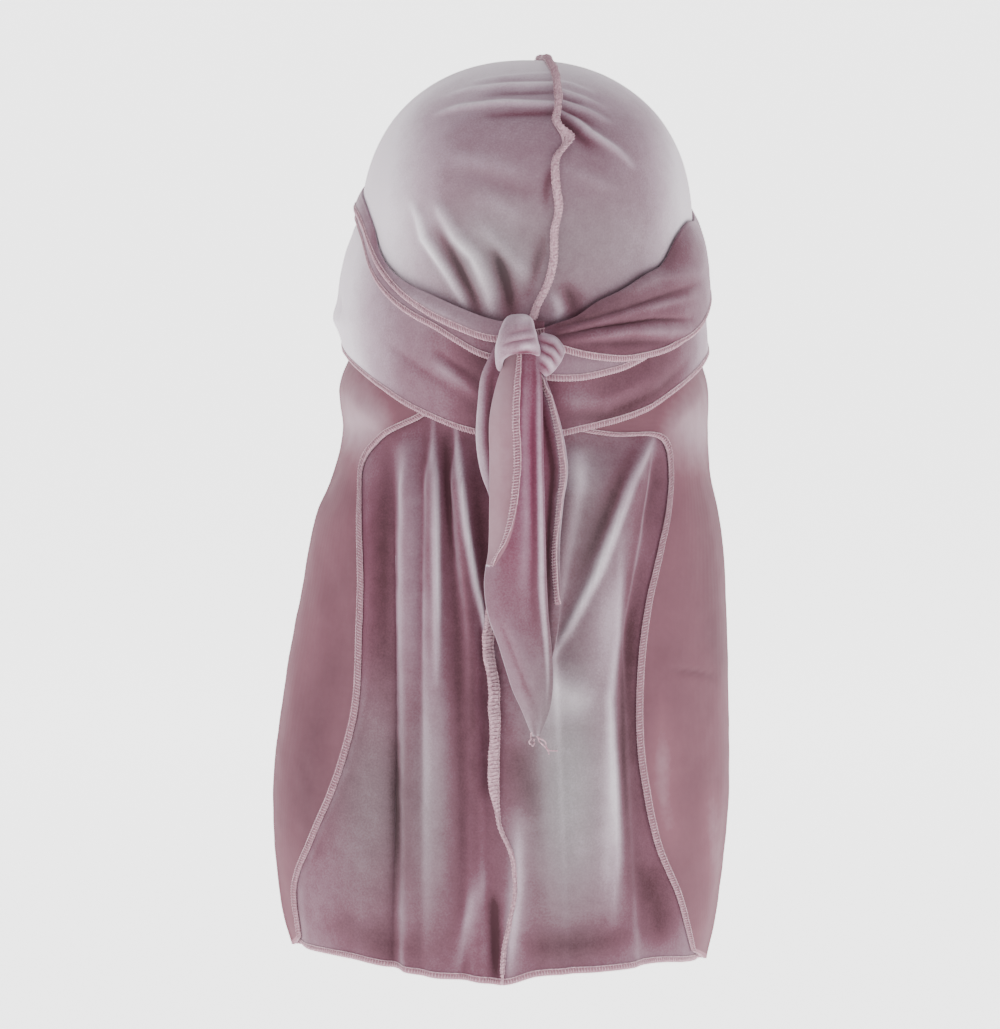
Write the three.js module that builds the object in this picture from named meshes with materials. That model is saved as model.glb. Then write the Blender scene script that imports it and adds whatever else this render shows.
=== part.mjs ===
// A worn durag seen as it sits on a head: a two-panel cap with a raised seam, a pleated cape
// that hangs from the nape, and two long straps wrapped round the head and knotted at the back.
// Millimetres, +Z up. The wearer faces +Y. The origin is the inside of the cap's top.

import * as THREE from 'three';

// Head and cap
const headHalfWidth = 78.4;
const headHalfDepth = 96.4;
const domeHeight = 79;
const napeTaper = 26;
const napeDrop = 156;
const browDrop = 86;

// Cloth
const clothWall = 1.2;
const plyGap = 0.65;
const seamWall = 2.2;
const seamHeight = 3.2;
const seamGap = 0.4;
const seamWander = 16;
const gatherHeight = 4.6;

// Straps, knot and tails
const wrapDrop = 177;
const foreheadDrop = 60;
const knotDrop = 130.5;
const knotHalfWidth = 9.5;
const knotHalfHeight = 10;
const knotRise = 12;
const knotOffset = -5.5;
const knotWall = 2.2;
const frontTailLength = 182;
const frontTailWidth = 27;
const backTailLength = 158;
const backTailWidth = 41;
const tailCurl = 4.5;
const tailRidge = 2;
const tailStep = 4;

// Cape
const capeDrop = 430;
const capeHalfWidth = 110;
const capeDepth = 94;
const capeSideDepth = 32;
const pleatHeight = 6;
const foldRadius = 2.2;
const foldTurn = 84;
const capeTopDrop = 0.35;

// Worked out from the above
const ply = clothWall + plyGap;
const capHalfWidth = headHalfWidth + clothWall / 2;
const capHalfDepth = headHalfDepth + clothWall / 2;
const capTop = clothWall / 2;
const wideDrop = domeHeight;
const domePower = 2.2;

// Facets
const crownRows = 16;
const crownColumns = 18;
const capeRows = 15;
const sideColumns = 5;

const clamp = THREE.MathUtils.clamp;
const mix = THREE.MathUtils.lerp;
const smooth = THREE.MathUtils.smoothstep;
const radians = THREE.MathUtils.degToRad;

// Names the columns of a table: each row becomes an object.
function table(columns, rows) {
  return rows.map((row) => Object.fromEntries(columns.map((name, i) => [name, row[i]])));
}

// Reads a table smoothly at a place 0..1 along its rows.
function along(rows, place) {
  const at = clamp(place, 0, 1) * (rows.length - 1);
  const first = Math.min(Math.floor(at), rows.length - 2);
  const t = at - first;
  const result = {};
  for (const name of Object.keys(rows[0])) {
    const value = (i) => rows[clamp(i, 0, rows.length - 1)][name];
    const [a, b, c, d] = [value(first - 1), value(first), value(first + 1), value(first + 2)];
    const bend = (2 * a - 5 * b + 4 * c - d) * t * t + (3 * b - 3 * c + d - a) * t * t * t;
    result[name] = b + ((c - a) * t + bend) / 2;
  }
  return result;
}

// Reads a table by the value of one of its columns, straight between rows.
function lookup(rows, key, value, name) {
  const next = rows.findIndex((row) => row[key] >= value);
  if (next === 0) return rows[0][name];
  if (next < 0) return rows[rows.length - 1][name];
  const [a, b] = [rows[next - 1], rows[next]];
  return mix(a[name], b[name], (value - a[key]) / (b[key] - a[key]));
}

function bump(distance, width) {
  return Math.exp(-((distance / width) ** 2));
}

// How wide the head is at a drop below its top, as a share of its widest.
function headShare(drop) {
  if (drop < wideDrop) {
    const rise = clamp((wideDrop - drop) / domeHeight, 0, 1);
    return (1 - rise ** domePower) ** (1 / domePower);
  }
  return 1 - (napeTaper / capHalfWidth) * ((drop - wideDrop) / capHalfWidth / 2) ** 2;
}

// A point round the head. Turn is in degrees from the back's middle, positive to the right.
function headPoint(turn, drop, lift = 0) {
  const share = headShare(drop);
  const x = (capHalfWidth * share + lift) * Math.sin(radians(turn));
  const y = -(capHalfDepth * share + lift) * Math.cos(radians(turn));
  return new THREE.Vector3(x, y, capTop - drop);
}

// Slides a point sideways over the head and keeps it on the head's surface.
function slidePoint(point, distance) {
  const x = (point.x + distance) / capHalfWidth;
  const y = point.y / capHalfDepth;
  const height = (point.z - capTop + wideDrop) / domeHeight;
  const round = Math.hypot(x, y);
  let [scale, rise] = [headShare(capTop - point.z) / Math.max(round, 1e-6), height];
  if (height > 0) {
    scale = (round ** domePower + height ** domePower) ** (-1 / domePower);
    rise = height * scale;
  }
  const z = capTop - wideDrop + rise * domeHeight;
  return new THREE.Vector3(x * scale * capHalfWidth, y * scale * capHalfDepth, z);
}

// Thickens a sheet, given as a surface over 0..1 each way, to a closed solid of even wall.
function sheetSolid(surface, columns, rows, wall) {
  const middle = [];
  const ids = new Map();
  const pointId = (u, v) => {
    const point = surface(u, v);
    const key = point.toArray().map((value) => Math.round(value * 1000)).join();
    if (!ids.has(key)) ids.set(key, middle.push(point) - 1);
    return ids.get(key);
  };
  const grid = [];
  for (let j = 0; j <= rows; j++) {
    grid.push([]);
    for (let i = 0; i <= columns; i++) grid[j].push(pointId(i / columns, j / rows));
  }

  const faces = [];
  const addFace = (a, b, c) => {
    if (a !== b && b !== c && c !== a) faces.push([a, b, c]);
  };
  for (let j = 0; j < rows; j++) {
    for (let i = 0; i < columns; i++) {
      const [a, b] = [grid[j][i], grid[j][i + 1]];
      const [c, d] = [grid[j + 1][i + 1], grid[j + 1][i]];
      addFace(a, d, c);
      addFace(a, c, b);
    }
  }
  return thicken(middle, faces, wall);
}

function thicken(middle, faces, wall) {
  const normals = middle.map(() => new THREE.Vector3());
  const edges = new Map();
  for (const face of faces) {
    const [a, b, c] = face.map((id) => middle[id]);
    const normal = b.clone().sub(a).cross(c.clone().sub(a));
    face.forEach((id, k) => {
      normals[id].add(normal);
      const next = face[(k + 1) % 3];
      if (edges.has(`${next},${id}`)) edges.delete(`${next},${id}`);
      else edges.set(`${id},${next}`, [id, next]);
    });
  }
  normals.forEach((normal) => normal.setLength(wall / 2));

  const count = middle.length;
  const positions = [];
  middle.forEach((point, id) => positions.push(...point.clone().add(normals[id]).toArray()));
  middle.forEach((point, id) => positions.push(...point.clone().sub(normals[id]).toArray()));
  const index = [];
  for (const [a, b, c] of faces) index.push(a, b, c, count + a, count + c, count + b);
  for (const [a, b] of edges.values()) index.push(b, a, count + a, b, count + a, count + b);

  const geometry = new THREE.BufferGeometry();
  geometry.setAttribute('position', new THREE.Float32BufferAttribute(positions, 3));
  geometry.setIndex(index);
  geometry.computeVertexNormals();
  return geometry;
}

// Raises a surface along its own normal by a height that changes over it.
function raised(surface, height) {
  const step = 1e-3;
  return (u, v) => {
    const point = surface(u, v);
    const [u0, v0] = [Math.min(u, 1 - step), Math.min(v, 1 - step)];
    const start = surface(u0, v0);
    const across = surface(u0 + step, v0).sub(start);
    const down = surface(u0, v0 + step).sub(start);
    return point.addScaledVector(down.cross(across).normalize(), height(u, v, point));
  };
}

// Cap: gathers and drape folds, each from one place to another on the back, as shares of the
// head's half width and of the nape's drop.
const capFolds = table(
  ['fromAcross', 'fromDrop', 'toAcross', 'toDrop', 'rise', 'width'],
  [
    [-0.48, 0.05, 0.12, 0.05, 0.5, 0.045],
    [-0.5, 0.16, 0.1, 0.15, 0.5, 0.05],
    [0.17, 0.1, 0.66, 0.26, 0.55, 0.055],
    [-0.76, 0.44, -0.36, 0.76, 0.8, 0.05],
    [-0.56, 0.4, -0.22, 0.78, 1, 0.055],
    [-0.3, 0.4, -0.02, 0.76, 1, 0.06],
    [0.24, 0.55, 0.17, 0.76, 0.7, 0.05],
  ],
);

// How far the seam wanders to the right down the back, as a share of the seam's wander.
const seamPath = table(
  ['drop', 'shift'],
  [
    [0, 0.55],
    [0.06, 0.78],
    [0.2, 0.78],
    [0.245, 0.98],
    [0.275, 0.98],
    [0.31, 0.78],
    [0.46, 0.8],
    [0.6, 0.68],
    [0.68, 0.52],
    [0.76, 0.16],
    [0.9, 0],
    [1, 0],
  ],
);

function seamShift(drop, isFront) {
  const shift = lookup(seamPath, 'drop', drop / napeDrop, 'shift') * seamWander;
  if (!isFront) return shift;
  return seamPath[0].shift * seamWander * (1 - smooth(drop, 0, browDrop / 2));
}

function capEdgeDrop(turn) {
  return mix(browDrop, napeDrop, smooth(Math.cos(radians(turn)), -0.8, 1));
}

function foldRise(x, drop) {
  let rise = 0;
  for (const fold of capFolds) {
    const from = new THREE.Vector2(fold.fromAcross * headHalfWidth, fold.fromDrop * napeDrop);
    const to = new THREE.Vector2(fold.toAcross * headHalfWidth, fold.toDrop * napeDrop);
    const run = to.clone().sub(from);
    const here = new THREE.Vector2(x, drop).sub(from);
    const t = clamp(here.dot(run) / run.lengthSq(), 0, 1);
    const distance = here.addScaledVector(run, -t).length();
    rise += fold.rise * Math.sin(Math.PI * mix(0.15, 0.85, t)) * bump(distance, fold.width * napeDrop);
  }
  return rise * gatherHeight;
}

function capPoint(turn, drop, side) {
  const point = headPoint(turn, drop);
  const fade = clamp(1 - Math.abs(point.x) / capHalfWidth, 0, 1);
  const slid = slidePoint(point, seamShift(drop, Math.cos(radians(turn)) < 0) * fade);
  slid.x += side * seamGap;
  return slid;
}

// The drop at an angle over the dome, and on down the head at the same pace. Then its inverse.
function dropAt(angle) {
  if (angle < Math.PI / 2) return domeHeight * (1 - Math.cos(angle));
  return domeHeight * (1 + angle - Math.PI / 2);
}

function angleAt(drop) {
  if (drop < domeHeight) return Math.acos(1 - drop / domeHeight);
  return Math.PI / 2 + drop / domeHeight - 1;
}

function drapeRise(point) {
  if (point.y > 0) return 0;
  const drop = capTop - point.z;
  return foldRise(point.x, drop) * (1 - smooth(drop, 0.64 * napeDrop, 0.76 * napeDrop));
}

function crownHalf(side) {
  const surface = (u, v) => {
    const place = side > 0 ? u : 1 - u;
    const turn = side * 180 * (0.5 * place + 0.5 * place ** 2);
    return capPoint(turn, dropAt(v * angleAt(capEdgeDrop(turn))), side);
  };
  const height = (u, v, point) => (v === 0 ? 0 : drapeRise(point));
  return sheetSolid(raised(surface, height), crownColumns, crownRows, clothWall);
}

// A raised seam: a fin that stands out of the cloth along a path of points with their normals.
function finSolid(stations) {
  const positions = [];
  for (const { point, normal, across, lean = 0 } of stations) {
    for (const [out, side] of [[0, -1], [1, -1], [1, 1], [0, 1]]) {
      const corner = point.clone().addScaledVector(across, (side * seamWall) / 2 + out * lean);
      corner.addScaledVector(normal, clothWall / 2 + seamGap + out * seamHeight);
      positions.push(...corner.toArray());
    }
  }
  const index = [];
  for (let i = 0; i + 1 < stations.length; i++) {
    for (let k = 0; k < 4; k++) {
      const [a, b] = [4 * i + k, 4 * i + ((k + 1) % 4)];
      index.push(a, b + 4, b, a, a + 4, b + 4);
    }
  }
  const end = 4 * (stations.length - 1);
  index.push(0, 2, 3, 0, 1, 2, end, end + 2, end + 1, end, end + 3, end + 2);
  const geometry = new THREE.BufferGeometry();
  geometry.setAttribute('position', new THREE.Float32BufferAttribute(positions, 3));
  geometry.setIndex(index);
  geometry.computeVertexNormals();
  return geometry;
}

// The seam follows the edge where the halves meet, row by row, and its crest the wandering path.
function crownSeam() {
  const center = new THREE.Vector3(0, 0, capTop - wideDrop);
  const stations = [];
  const addStation = (turn, root, angle) => {
    const crest = capPoint(turn, dropAt(angle), 0);
    const normal = crest.clone().sub(center).setX(0);
    if (crest.z < center.z) normal.setZ(0);
    normal.normalize();
    const point = root.clone().addScaledVector(normal, drapeRise(root));
    const lean = crest.x - root.x;
    stations.push({ point, normal, across: new THREE.Vector3(1, 0, 0), lean });
  };
  const addRows = (turn, from, to, edgeDrop) => {
    const step = Math.sign(to - from);
    const angle = angleAt(edgeDrop) / crownRows;
    for (let row = from; row !== to; row += step) {
      const [a, b] = [row, row + step].map((j) => capPoint(turn, dropAt(j * angle), 0));
      addStation(turn, a, row * angle);
      addStation(turn, a.lerp(b, 0.5), (row + step / 2) * angle);
    }
    return { turn, root: capPoint(turn, dropAt(to * angle), 0), angle: to * angle };
  };
  addRows(180, Math.floor((foreheadDrop / browDrop) * (crownRows - 2)), 0, browDrop);
  const last = addRows(0, 0, Math.round(0.8 * crownRows), napeDrop);
  addStation(last.turn, last.root, last.angle);
  return finSolid(stations);
}

// Cape: its sections as shares of the cape's drop, half width, depth and side depth.
const capeSections = table(
  ['drop', 'left', 'right', 'back', 'side'],
  [
    [0.3, 0.74, 0.715, 0.97, 0.05],
    [0.335, 0.785, 0.745, 0.97, 0.1],
    [0.38, 0.775, 0.75, 0.965, 0.25],
    [0.41, 0.76, 0.745, 0.965, 0.35],
    [0.455, 0.8, 0.755, 0.975, 0.55],
    [0.51, 0.88, 0.795, 0.99, 0.75],
    [0.59, 0.94, 0.82, 1, 0.9],
    [0.68, 1.005, 0.835, 1.01, 1],
    [0.77, 1.055, 0.835, 1.02, 1.05],
    [0.83, 1.06, 0.83, 1.03, 1.08],
    [0.89, 1.045, 0.81, 1.04, 1.1],
    [0.95, 1.015, 0.78, 1.05, 1.12],
    [1, 0.96, 0.735, 1.06, 1.15],
  ],
);

// Fold lines of the cape from the seam outward, as shares of the cape's half width at the
// cape's top, middle and hem, with how high each stands there as shares of the pleat height.
const foldColumns = ['top', 'middle', 'hem', 'riseTop', 'riseHem'];
const foldLines = {
  '-1': table(foldColumns, [
    [0.16, 0.195, 0.15, 0.1, -0.1],
    [0.3, 0.235, 0.2, 1, 0.4],
    [0.345, 0.3, 0.27, 0, 0],
    [0.39, 0.385, 0.36, 1, 0.9],
    [0.435, 0.435, 0.43, 0.15, 0.7],
    [0.49, 0.49, 0.49, 0.9, 0.85],
    [0.55, 0.55, 0.56, 0, 0],
    [0.63, 0.63, 0.67, 0.15, 0.6],
  ]),
  1: table(foldColumns, [
    [0.05, -0.05, 0.0, 0.3, 0.2],
    [0.12, 0.02, 0.08, 0.1, 0.3],
    [0.21, 0.08, 0.14, 0.8, 0.6],
    [0.3, 0.13, 0.19, 0.15, 0.45],
    [0.47, 0.24, 0.28, 1, 0.8],
    [0.52, 0.37, 0.41, 0.6, 0.8],
    [0.56, 0.44, 0.5, 0, 0],
    [0.65, 0.62, 0.66, 0, 0.1],
  ]),
};

// The folded-back margin's free edge, down the cape. Across is a share of the cape's half width.
const marginColumns = ['edgeAcross', 'edgeDrop', 'foldDrop'];
const margins = {
  '-1': table(marginColumns, [
    [0.42, 0.372, 0.3],
    [0.49, 0.392, 0.325],
    [0.62, 0.418, 0.36],
    [0.695, 0.448, 0.4],
    [0.7, 0.5, 0.455],
    [0.69, 0.56, 0.52],
    [0.695, 0.62, 0.59],
    [0.71, 0.7, 0.67],
    [0.76, 0.757, 0.735],
    [0.82, 0.803, 0.785],
    [0.905, 0.857, 0.84],
    [0.97, 0.91, 0.905],
    [0.93, 0.968, 0.972],
  ]),
  1: table(marginColumns, [
    [0.12, 0.398, 0.3],
    [0.37, 0.41, 0.325],
    [0.54, 0.413, 0.35],
    [0.59, 0.44, 0.385],
    [0.585, 0.485, 0.435],
    [0.545, 0.535, 0.5],
    [0.49, 0.595, 0.57],
    [0.46, 0.66, 0.64],
    [0.455, 0.73, 0.715],
    [0.48, 0.79, 0.775],
    [0.535, 0.855, 0.84],
    [0.63, 0.915, 0.915],
    [0.7, 0.98, 0.99],
  ]),
};

const capeSeamPath = table(
  ['drop', 'across'],
  [
    [0.34, 0],
    [0.41, -0.02],
    [0.53, -0.1],
    [0.63, -0.155],
    [0.68, -0.13],
    [0.82, -0.125],
    [0.86, -0.07],
    [0.9, -0.055],
    [0.96, -0.1],
    [1, -0.11],
  ],
);

// The hem's drop across the cape, with the dip at the middle and the higher corners.
const hemPath = table(
  ['across', 'drop'],
  [
    [-1, 0.98],
    [-0.84, 0.978],
    [-0.7, 0.98],
    [-0.5, 0.988],
    [-0.2, 0.997],
    [-0.1, 1],
    [0.04, 0.99],
    [0.36, 0.985],
    [0.5, 0.984],
    [0.6, 0.986],
    [0.75, 0.996],
  ],
);

function capeSection(drop, name) {
  return lookup(capeSections, 'drop', drop / capeDrop, name);
}

function capeHalf(drop, side) {
  return capeSection(drop, side < 0 ? 'left' : 'right') * capeHalfWidth;
}

// The cape's plain surface at a turn from the back's middle and a drop, lifted outward. It
// follows the head under the straps and hangs free below them.
function curtainPoint(turn, drop, lift = 0) {
  const angle = radians(turn);
  const half = capeHalf(drop, turn);
  const sideDepth = capeSection(drop, 'side') * capeSideDepth;
  const backDepth = capeSection(drop, 'back') * capeDepth;
  const x = (half + lift) * Math.sin(angle);
  const y = -(sideDepth + (backDepth - sideDepth + lift) * Math.cos(angle));
  const hung = new THREE.Vector3(x, y, capTop - drop);
  const worn = headPoint(turn, drop, ply + lift);
  const center = Math.cos(angle) ** 2;
  const from = mix(0.295, 0.405, center) * capeDrop;
  const to = mix(0.37, 0.48, center) * capeDrop;
  return worn.lerp(hung, smooth(drop, from, to));
}

function capeTurn(across, drop) {
  const share = clamp((across * capeHalfWidth) / capeHalf(drop, across), -1, 1);
  return THREE.MathUtils.radToDeg(Math.asin(share));
}

function seamTurn(drop) {
  return capeTurn(lookup(capeSeamPath, 'drop', drop / capeDrop, 'across'), drop);
}

// Reads the fold lines at one drop, from the seam (share 0) to the side fold (share 1).
function foldAt(share, drop, side) {
  const place = drop / capeDrop;
  const upper = clamp((place - 0.41) / 0.21, 0, 1);
  const lower = clamp((place - 0.62) / 0.38, 0, 1);
  const fade = smooth(place, 0.41, 0.47);
  const lines = foldLines[side].map((line) => ({
    turn: capeTurn(side * mix(mix(line.top, line.middle, upper), line.hem, lower), drop),
    rise: mix(line.riseTop, line.riseHem, clamp((place - 0.41) / 0.5, 0, 1)) * fade,
  }));
  const start = { turn: seamTurn(drop), rise: 0 };
  const end = { turn: side * foldTurn, rise: 0 };
  return along([start, ...lines, end], share);
}

// Bends a row of the cape towards the hem's own line as it nears the hem.
function trimToHem(even, turn, place) {
  const across = (Math.sin(radians(turn)) * capeHalf(even, turn)) / capeHalfWidth;
  const hem = lookup(hemPath, 'across', across, 'drop') * capeDrop;
  return mix(even, hem, smooth(place, 0.6, 1));
}

function capePanel(side) {
  const margin = margins[side];
  const lineColumns = 2 * foldLines[side].length;
  const panelColumns = lineColumns + sideColumns;
  const columns = panelColumns + 3 + 4;
  const topDrop = capeTopDrop * capeDrop;

  // Two columns to each fold line, and more on the wide plain stretch beside the side fold.
  const lineShare = (column) => {
    const beyond = Math.max(column - lineColumns, 0) / sideColumns;
    return (Math.min(column, lineColumns) / 2 + beyond) / (lineColumns / 2 + 1);
  };
  const panel = (share, place) => {
    const guide = along(margin, place);
    const turnShare = Math.sin(radians(foldTurn * share)) ** 2;
    const even = mix(mix(topDrop, capeDrop, place), guide.foldDrop * capeDrop, turnShare);
    const drop = trimToHem(even, foldAt(share, even, side).turn, place);
    const fold = foldAt(share, drop, side);
    const plain = curtainPoint(fold.turn, drop);
    const edge = lookup(margin, 'edgeDrop', drop / capeDrop, 'edgeAcross') * capeHalfWidth;
    const clear = smooth(edge - Math.abs(plain.x), -0.02 * capeHalfWidth, 0.05 * capeHalfWidth);
    const point = curtainPoint(fold.turn, drop, fold.rise * pleatHeight * clear);
    point.x += side * seamGap * (1 - share);
    return point;
  };
  const surface = (u, v) => {
    const column = (side > 0 ? u : 1 - u) * columns;
    if (column <= panelColumns + 1e-6) return panel(lineShare(column), v);
    const guide = along(margin, v);
    const fold = panel(1, v);
    const drop = capTop - fold.z;
    if (column <= panelColumns + 3 + 1e-6) {
      const around = (Math.PI * (column - panelColumns)) / 3;
      fold.x += side * foldRadius * (1 - Math.cos(around));
      fold.y += foldRadius * Math.sin(around);
      return fold;
    }
    const share = (column - panelColumns - 3) / 4;
    const edgeDrop = guide.edgeDrop * capeDrop;
    const turn = mix(side * foldTurn, capeTurn(guide.edgeAcross * side, edgeDrop), share);
    const lift = mix(2 * foldRadius, ply, Math.sqrt(share));
    return curtainPoint(turn, mix(drop, edgeDrop, share), lift);
  };
  return sheetSolid(surface, columns, capeRows, clothWall);
}

function capeSeam() {
  const stations = [];
  for (let row = 2; row <= capeRows; row++) {
    const place = Math.min(row / capeRows, 0.995);
    const even = mix(capeTopDrop, 1, place) * capeDrop;
    const drop = trimToHem(even, seamTurn(even), place);
    const turn = seamTurn(drop);
    const normal = new THREE.Vector3(Math.sin(radians(turn)), -Math.cos(radians(turn)), 0);
    const across = new THREE.Vector3(-normal.y, normal.x, 0);
    stations.push({ point: curtainPoint(turn, drop), normal, across });
  }
  return finSolid(stations);
}

// Straps: sections round the head. Turn is in degrees from the back's middle; top and bottom
// are shares of the straps' drop at the nape; lifts and bulge count plies of cloth.
const strapColumns = ['turn', 'top', 'bottom', 'liftTop', 'liftBottom', 'bulge'];
const strapRight = table(strapColumns, [
  [6, 0.72, 1, 1.3, 2.7, 0.4],
  [-8, 0.72, 1.003, 1.3, 2.8, 0.4],
  [-22, 0.7, 0.985, 1.3, 3.2, 0.4],
  [-34, 0.665, 0.955, 1.2, 3.6, 0.5],
  [-45, 0.635, 0.92, 1.2, 4.5, 0.7],
  [-57, 0.59, 0.875, 1.2, 5.2, 0.9],
  [-68, 0.5, 0.838, 1.3, 5.8, 1.4],
  [-79, 0.44, 0.805, 1.3, 6.6, 2.2],
  [-90, 0.43, 0.775, 1.3, 6.8, 2.4],
  [-104, 0.42, 0.7, 1.3, 4.6, 1.6],
  [-120, 0.41, 0.645, 1.2, 2.8, 0.5],
  [-138, 0.41, 0.605, 1.2, 1.7, 0.1],
  [-154, 0.4, 0.575, 1.2, 1.2, 0.1],
  [-168, 0.375, 0.545, 1.2, 1.2, 0.1],
  [-182, 0.34, 0.505, 1.2, 1.2, 0.1],
  [-196, 0.3, 0.465, 1.2, 1.2, 0],
  [-212, 0.285, 0.452, 1.8, 2.3, 0.1],
  [-228, 0.295, 0.48, 2.1, 2.9, 0],
  [-244, 0.32, 0.53, 2.1, 3.6, 0],
  [-258, 0.375, 0.59, 2.2, 4.7, 0.2],
  [-270, 0.42, 0.635, 2.1, 5.5, 0.5],
  [-281, 0.43, 0.675, 2.1, 5.9, 0.7],
  [-291, 0.435, 0.72, 2, 6, 0.9],
  [-300, 0.475, 0.75, 1.8, 5.7, 1],
  [-309, 0.545, 0.775, 1.7, 5.4, 1],
  [-318, 0.575, 0.79, 1.7, 5.2, 1],
  [-328, 0.615, 0.8, 1.8, 5.1, 0.9],
  [-337, 0.645, 0.795, 2, 5.1, 0.7],
  [-345, 0.68, 0.78, 2.5, 5, 0.5],
  [-350, 0.702, 0.76, 3.2, 4.9, 0.2],
]);
const strapLeft = table(strapColumns, [
  [-7, 0.745, 0.99, 2.8, 3.5, 0.4],
  [8, 0.745, 0.996, 2.4, 3.5, 0.4],
  [20, 0.745, 0.98, 1.6, 3.5, 0.5],
  [32, 0.735, 0.962, 1.3, 3.6, 0.6],
  [44, 0.7, 0.935, 1.2, 4.5, 1],
  [55, 0.65, 0.895, 1.2, 5, 1.1],
  [67, 0.57, 0.853, 1.2, 5.7, 0.9],
  [79, 0.5, 0.817, 1.2, 6.3, 0.4],
  [90, 0.46, 0.785, 1.2, 6.4, 0.1],
  [104, 0.43, 0.715, 1.2, 4, 0.2],
  [120, 0.4, 0.65, 1.2, 2.2, 0.2],
  [138, 0.45, 0.6, 1.2, 1.4, 0.1],
  [152, 0.475, 0.59, 1.9, 2, 0],
  [166, 0.425, 0.56, 2.7, 2.7, 0],
  [180, 0.34, 0.51, 2.3, 2.4, 0],
  [196, 0.305, 0.47, 2.3, 2.4, 0],
  [212, 0.29, 0.44, 2.3, 2.5, 0],
  [230, 0.29, 0.41, 2.2, 2.7, 0],
  [248, 0.305, 0.395, 2, 2.9, 0],
  [264, 0.315, 0.39, 2.1, 3.4, 0],
  [276, 0.325, 0.395, 2.2, 3.6, 0],
  [285, 0.345, 0.41, 2.4, 3.8, 0],
  [291, 0.38, 0.445, 2.6, 3.8, 0],
  [296, 0.435, 0.49, 2.5, 3.6, 0],
  [301, 0.51, 0.54, 2.6, 3.7, 0],
  [309, 0.563, 0.592, 2.6, 3.8, 0],
  [318, 0.6, 0.64, 2.5, 3.9, 0],
  [328, 0.63, 0.685, 2.5, 4, 0],
  [338, 0.662, 0.72, 2.5, 4, 0],
  [346, 0.685, 0.743, 2.8, 4.1, 0],
  [351, 0.702, 0.755, 3.2, 4.2, 0],
]);
const strapLeftPly = table(strapColumns, [
  [-12, 0.735, 0.795, 2.4, 2.9, 0],
  [-17, 0.722, 0.782, 2.3, 2.9, 0],
  [-24, 0.7, 0.752, 2.2, 2.8, 0],
  [-32, 0.672, 0.716, 2.2, 2.8, 0],
  [-40, 0.645, 0.688, 2.2, 2.8, 0],
  [-48, 0.612, 0.655, 2.2, 2.8, 0],
  [-56, 0.565, 0.612, 2.2, 2.8, 0],
  [-62, 0.505, 0.565, 2.1, 2.8, 0],
  [-67, 0.45, 0.52, 2, 2.8, 0],
  [-72, 0.41, 0.475, 2, 2.8, 0],
  [-80, 0.37, 0.44, 2, 2.7, 0],
  [-92, 0.35, 0.42, 1.9, 2.6, 0],
]);
const strapRightPly = table(strapColumns, [
  [7, 0.75, 0.846, 3.5, 4.2, 0],
  [12, 0.74, 0.849, 3.1, 4.2, 0],
  [18, 0.725, 0.847, 2.7, 4.1, 0],
  [25, 0.72, 0.837, 2.5, 4, 0],
  [33, 0.715, 0.822, 2.5, 4, 0],
  [42, 0.705, 0.795, 2.5, 3.9, 0],
]);

function strapSolid(sections, columns, rows) {
  const turns = sections[sections.length - 1].turn - sections[0].turn;
  const surface = (u, v) => {
    const section = along(sections, turns > 0 ? u : 1 - u);
    const lift = mix(section.liftTop, section.liftBottom, v) + section.bulge * Math.sin(Math.PI * v);
    const drop = mix(section.top, section.bottom, v) * wrapDrop;
    return headPoint(section.turn, drop, lift * ply);
  };
  return sheetSolid(surface, columns, rows, clothWall);
}

// Knot: a loop of strap round the crossing, and a tuck that comes out at its right.
function knotLoop() {
  const depth = capHalfDepth + 5.2 * ply;
  const surface = (u, v) => {
    const across = 2 * u - 1;
    const angle = radians(mix(-30, 152, v));
    const pinch = 1 - 0.22 * across ** 2;
    const crease = 0.07 * Math.cos(4 * Math.PI * v) * (1 - across ** 2);
    const x = knotOffset + knotHalfWidth * across * (1 - 0.1 * Math.cos(angle));
    const y = -depth - knotRise * Math.sin(angle) * (pinch - crease);
    const z = capTop - knotDrop + knotHalfHeight * Math.cos(angle) * pinch;
    return new THREE.Vector3(x, y, z);
  };
  return sheetSolid(surface, 8, 10, knotWall);
}

function knotTuck() {
  const depth = capHalfDepth + 6.2 * ply;
  const surface = (u, v) => {
    const angle = radians(mix(20, 128, u));
    const reach = mix(0.35, 1.15, v) * knotHalfWidth * 1.1;
    const x = 3.6 + reach * Math.sin(angle);
    const z = capTop - knotDrop - 5.5 + reach * Math.cos(angle) * 0.8;
    const ridge = 0.8 * Math.cos(3 * Math.PI * u) * v;
    const y = -depth + 0.55 * knotRise * v ** 2 - ridge;
    return new THREE.Vector3(x, y, z);
  };
  return sheetSolid(surface, 7, 4, clothWall);
}

// Tails: left and right edges as shares of the tail's width from its line, by length.
const tailColumns = ['length', 'left', 'right', 'out'];
const frontTail = table(tailColumns, [
  [0, -0.3, 0.16, 0.9],
  [0.06, -0.42, 0.2, 0.9],
  [0.12, -0.55, 0.23, 1],
  [0.2, -0.66, 0.24, 1.05],
  [0.3, -0.66, 0.25, 1],
  [0.42, -0.66, 0.27, 0.98],
  [0.53, -0.68, 0.29, 0.96],
  [0.62, -0.74, 0.31, 0.95],
  [0.7, -0.66, 0.34, 0.94],
  [0.77, -0.5, 0.39, 0.93],
  [0.84, -0.35, 0.42, 0.92],
  [0.89, -0.24, 0.41, 0.91],
  [0.94, -0.09, 0.35, 0.9],
  [1, 0.08, 0.19, 0.9],
]);
const backTail = table(tailColumns, [
  [0, -0.38, 0.12, 0.25],
  [0.08, -0.52, 0.18, 0.3],
  [0.16, -0.56, 0.29, 0.4],
  [0.27, -0.58, 0.4, 0.45],
  [0.36, -0.53, 0.44, 0.45],
  [0.45, -0.42, 0.39, 0.45],
  [0.6, -0.38, 0.35, 0.45],
  [0.75, -0.34, 0.36, 0.45],
  [0.88, -0.22, 0.29, 0.45],
  [1, -0.02, 0.14, 0.45],
]);

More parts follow.
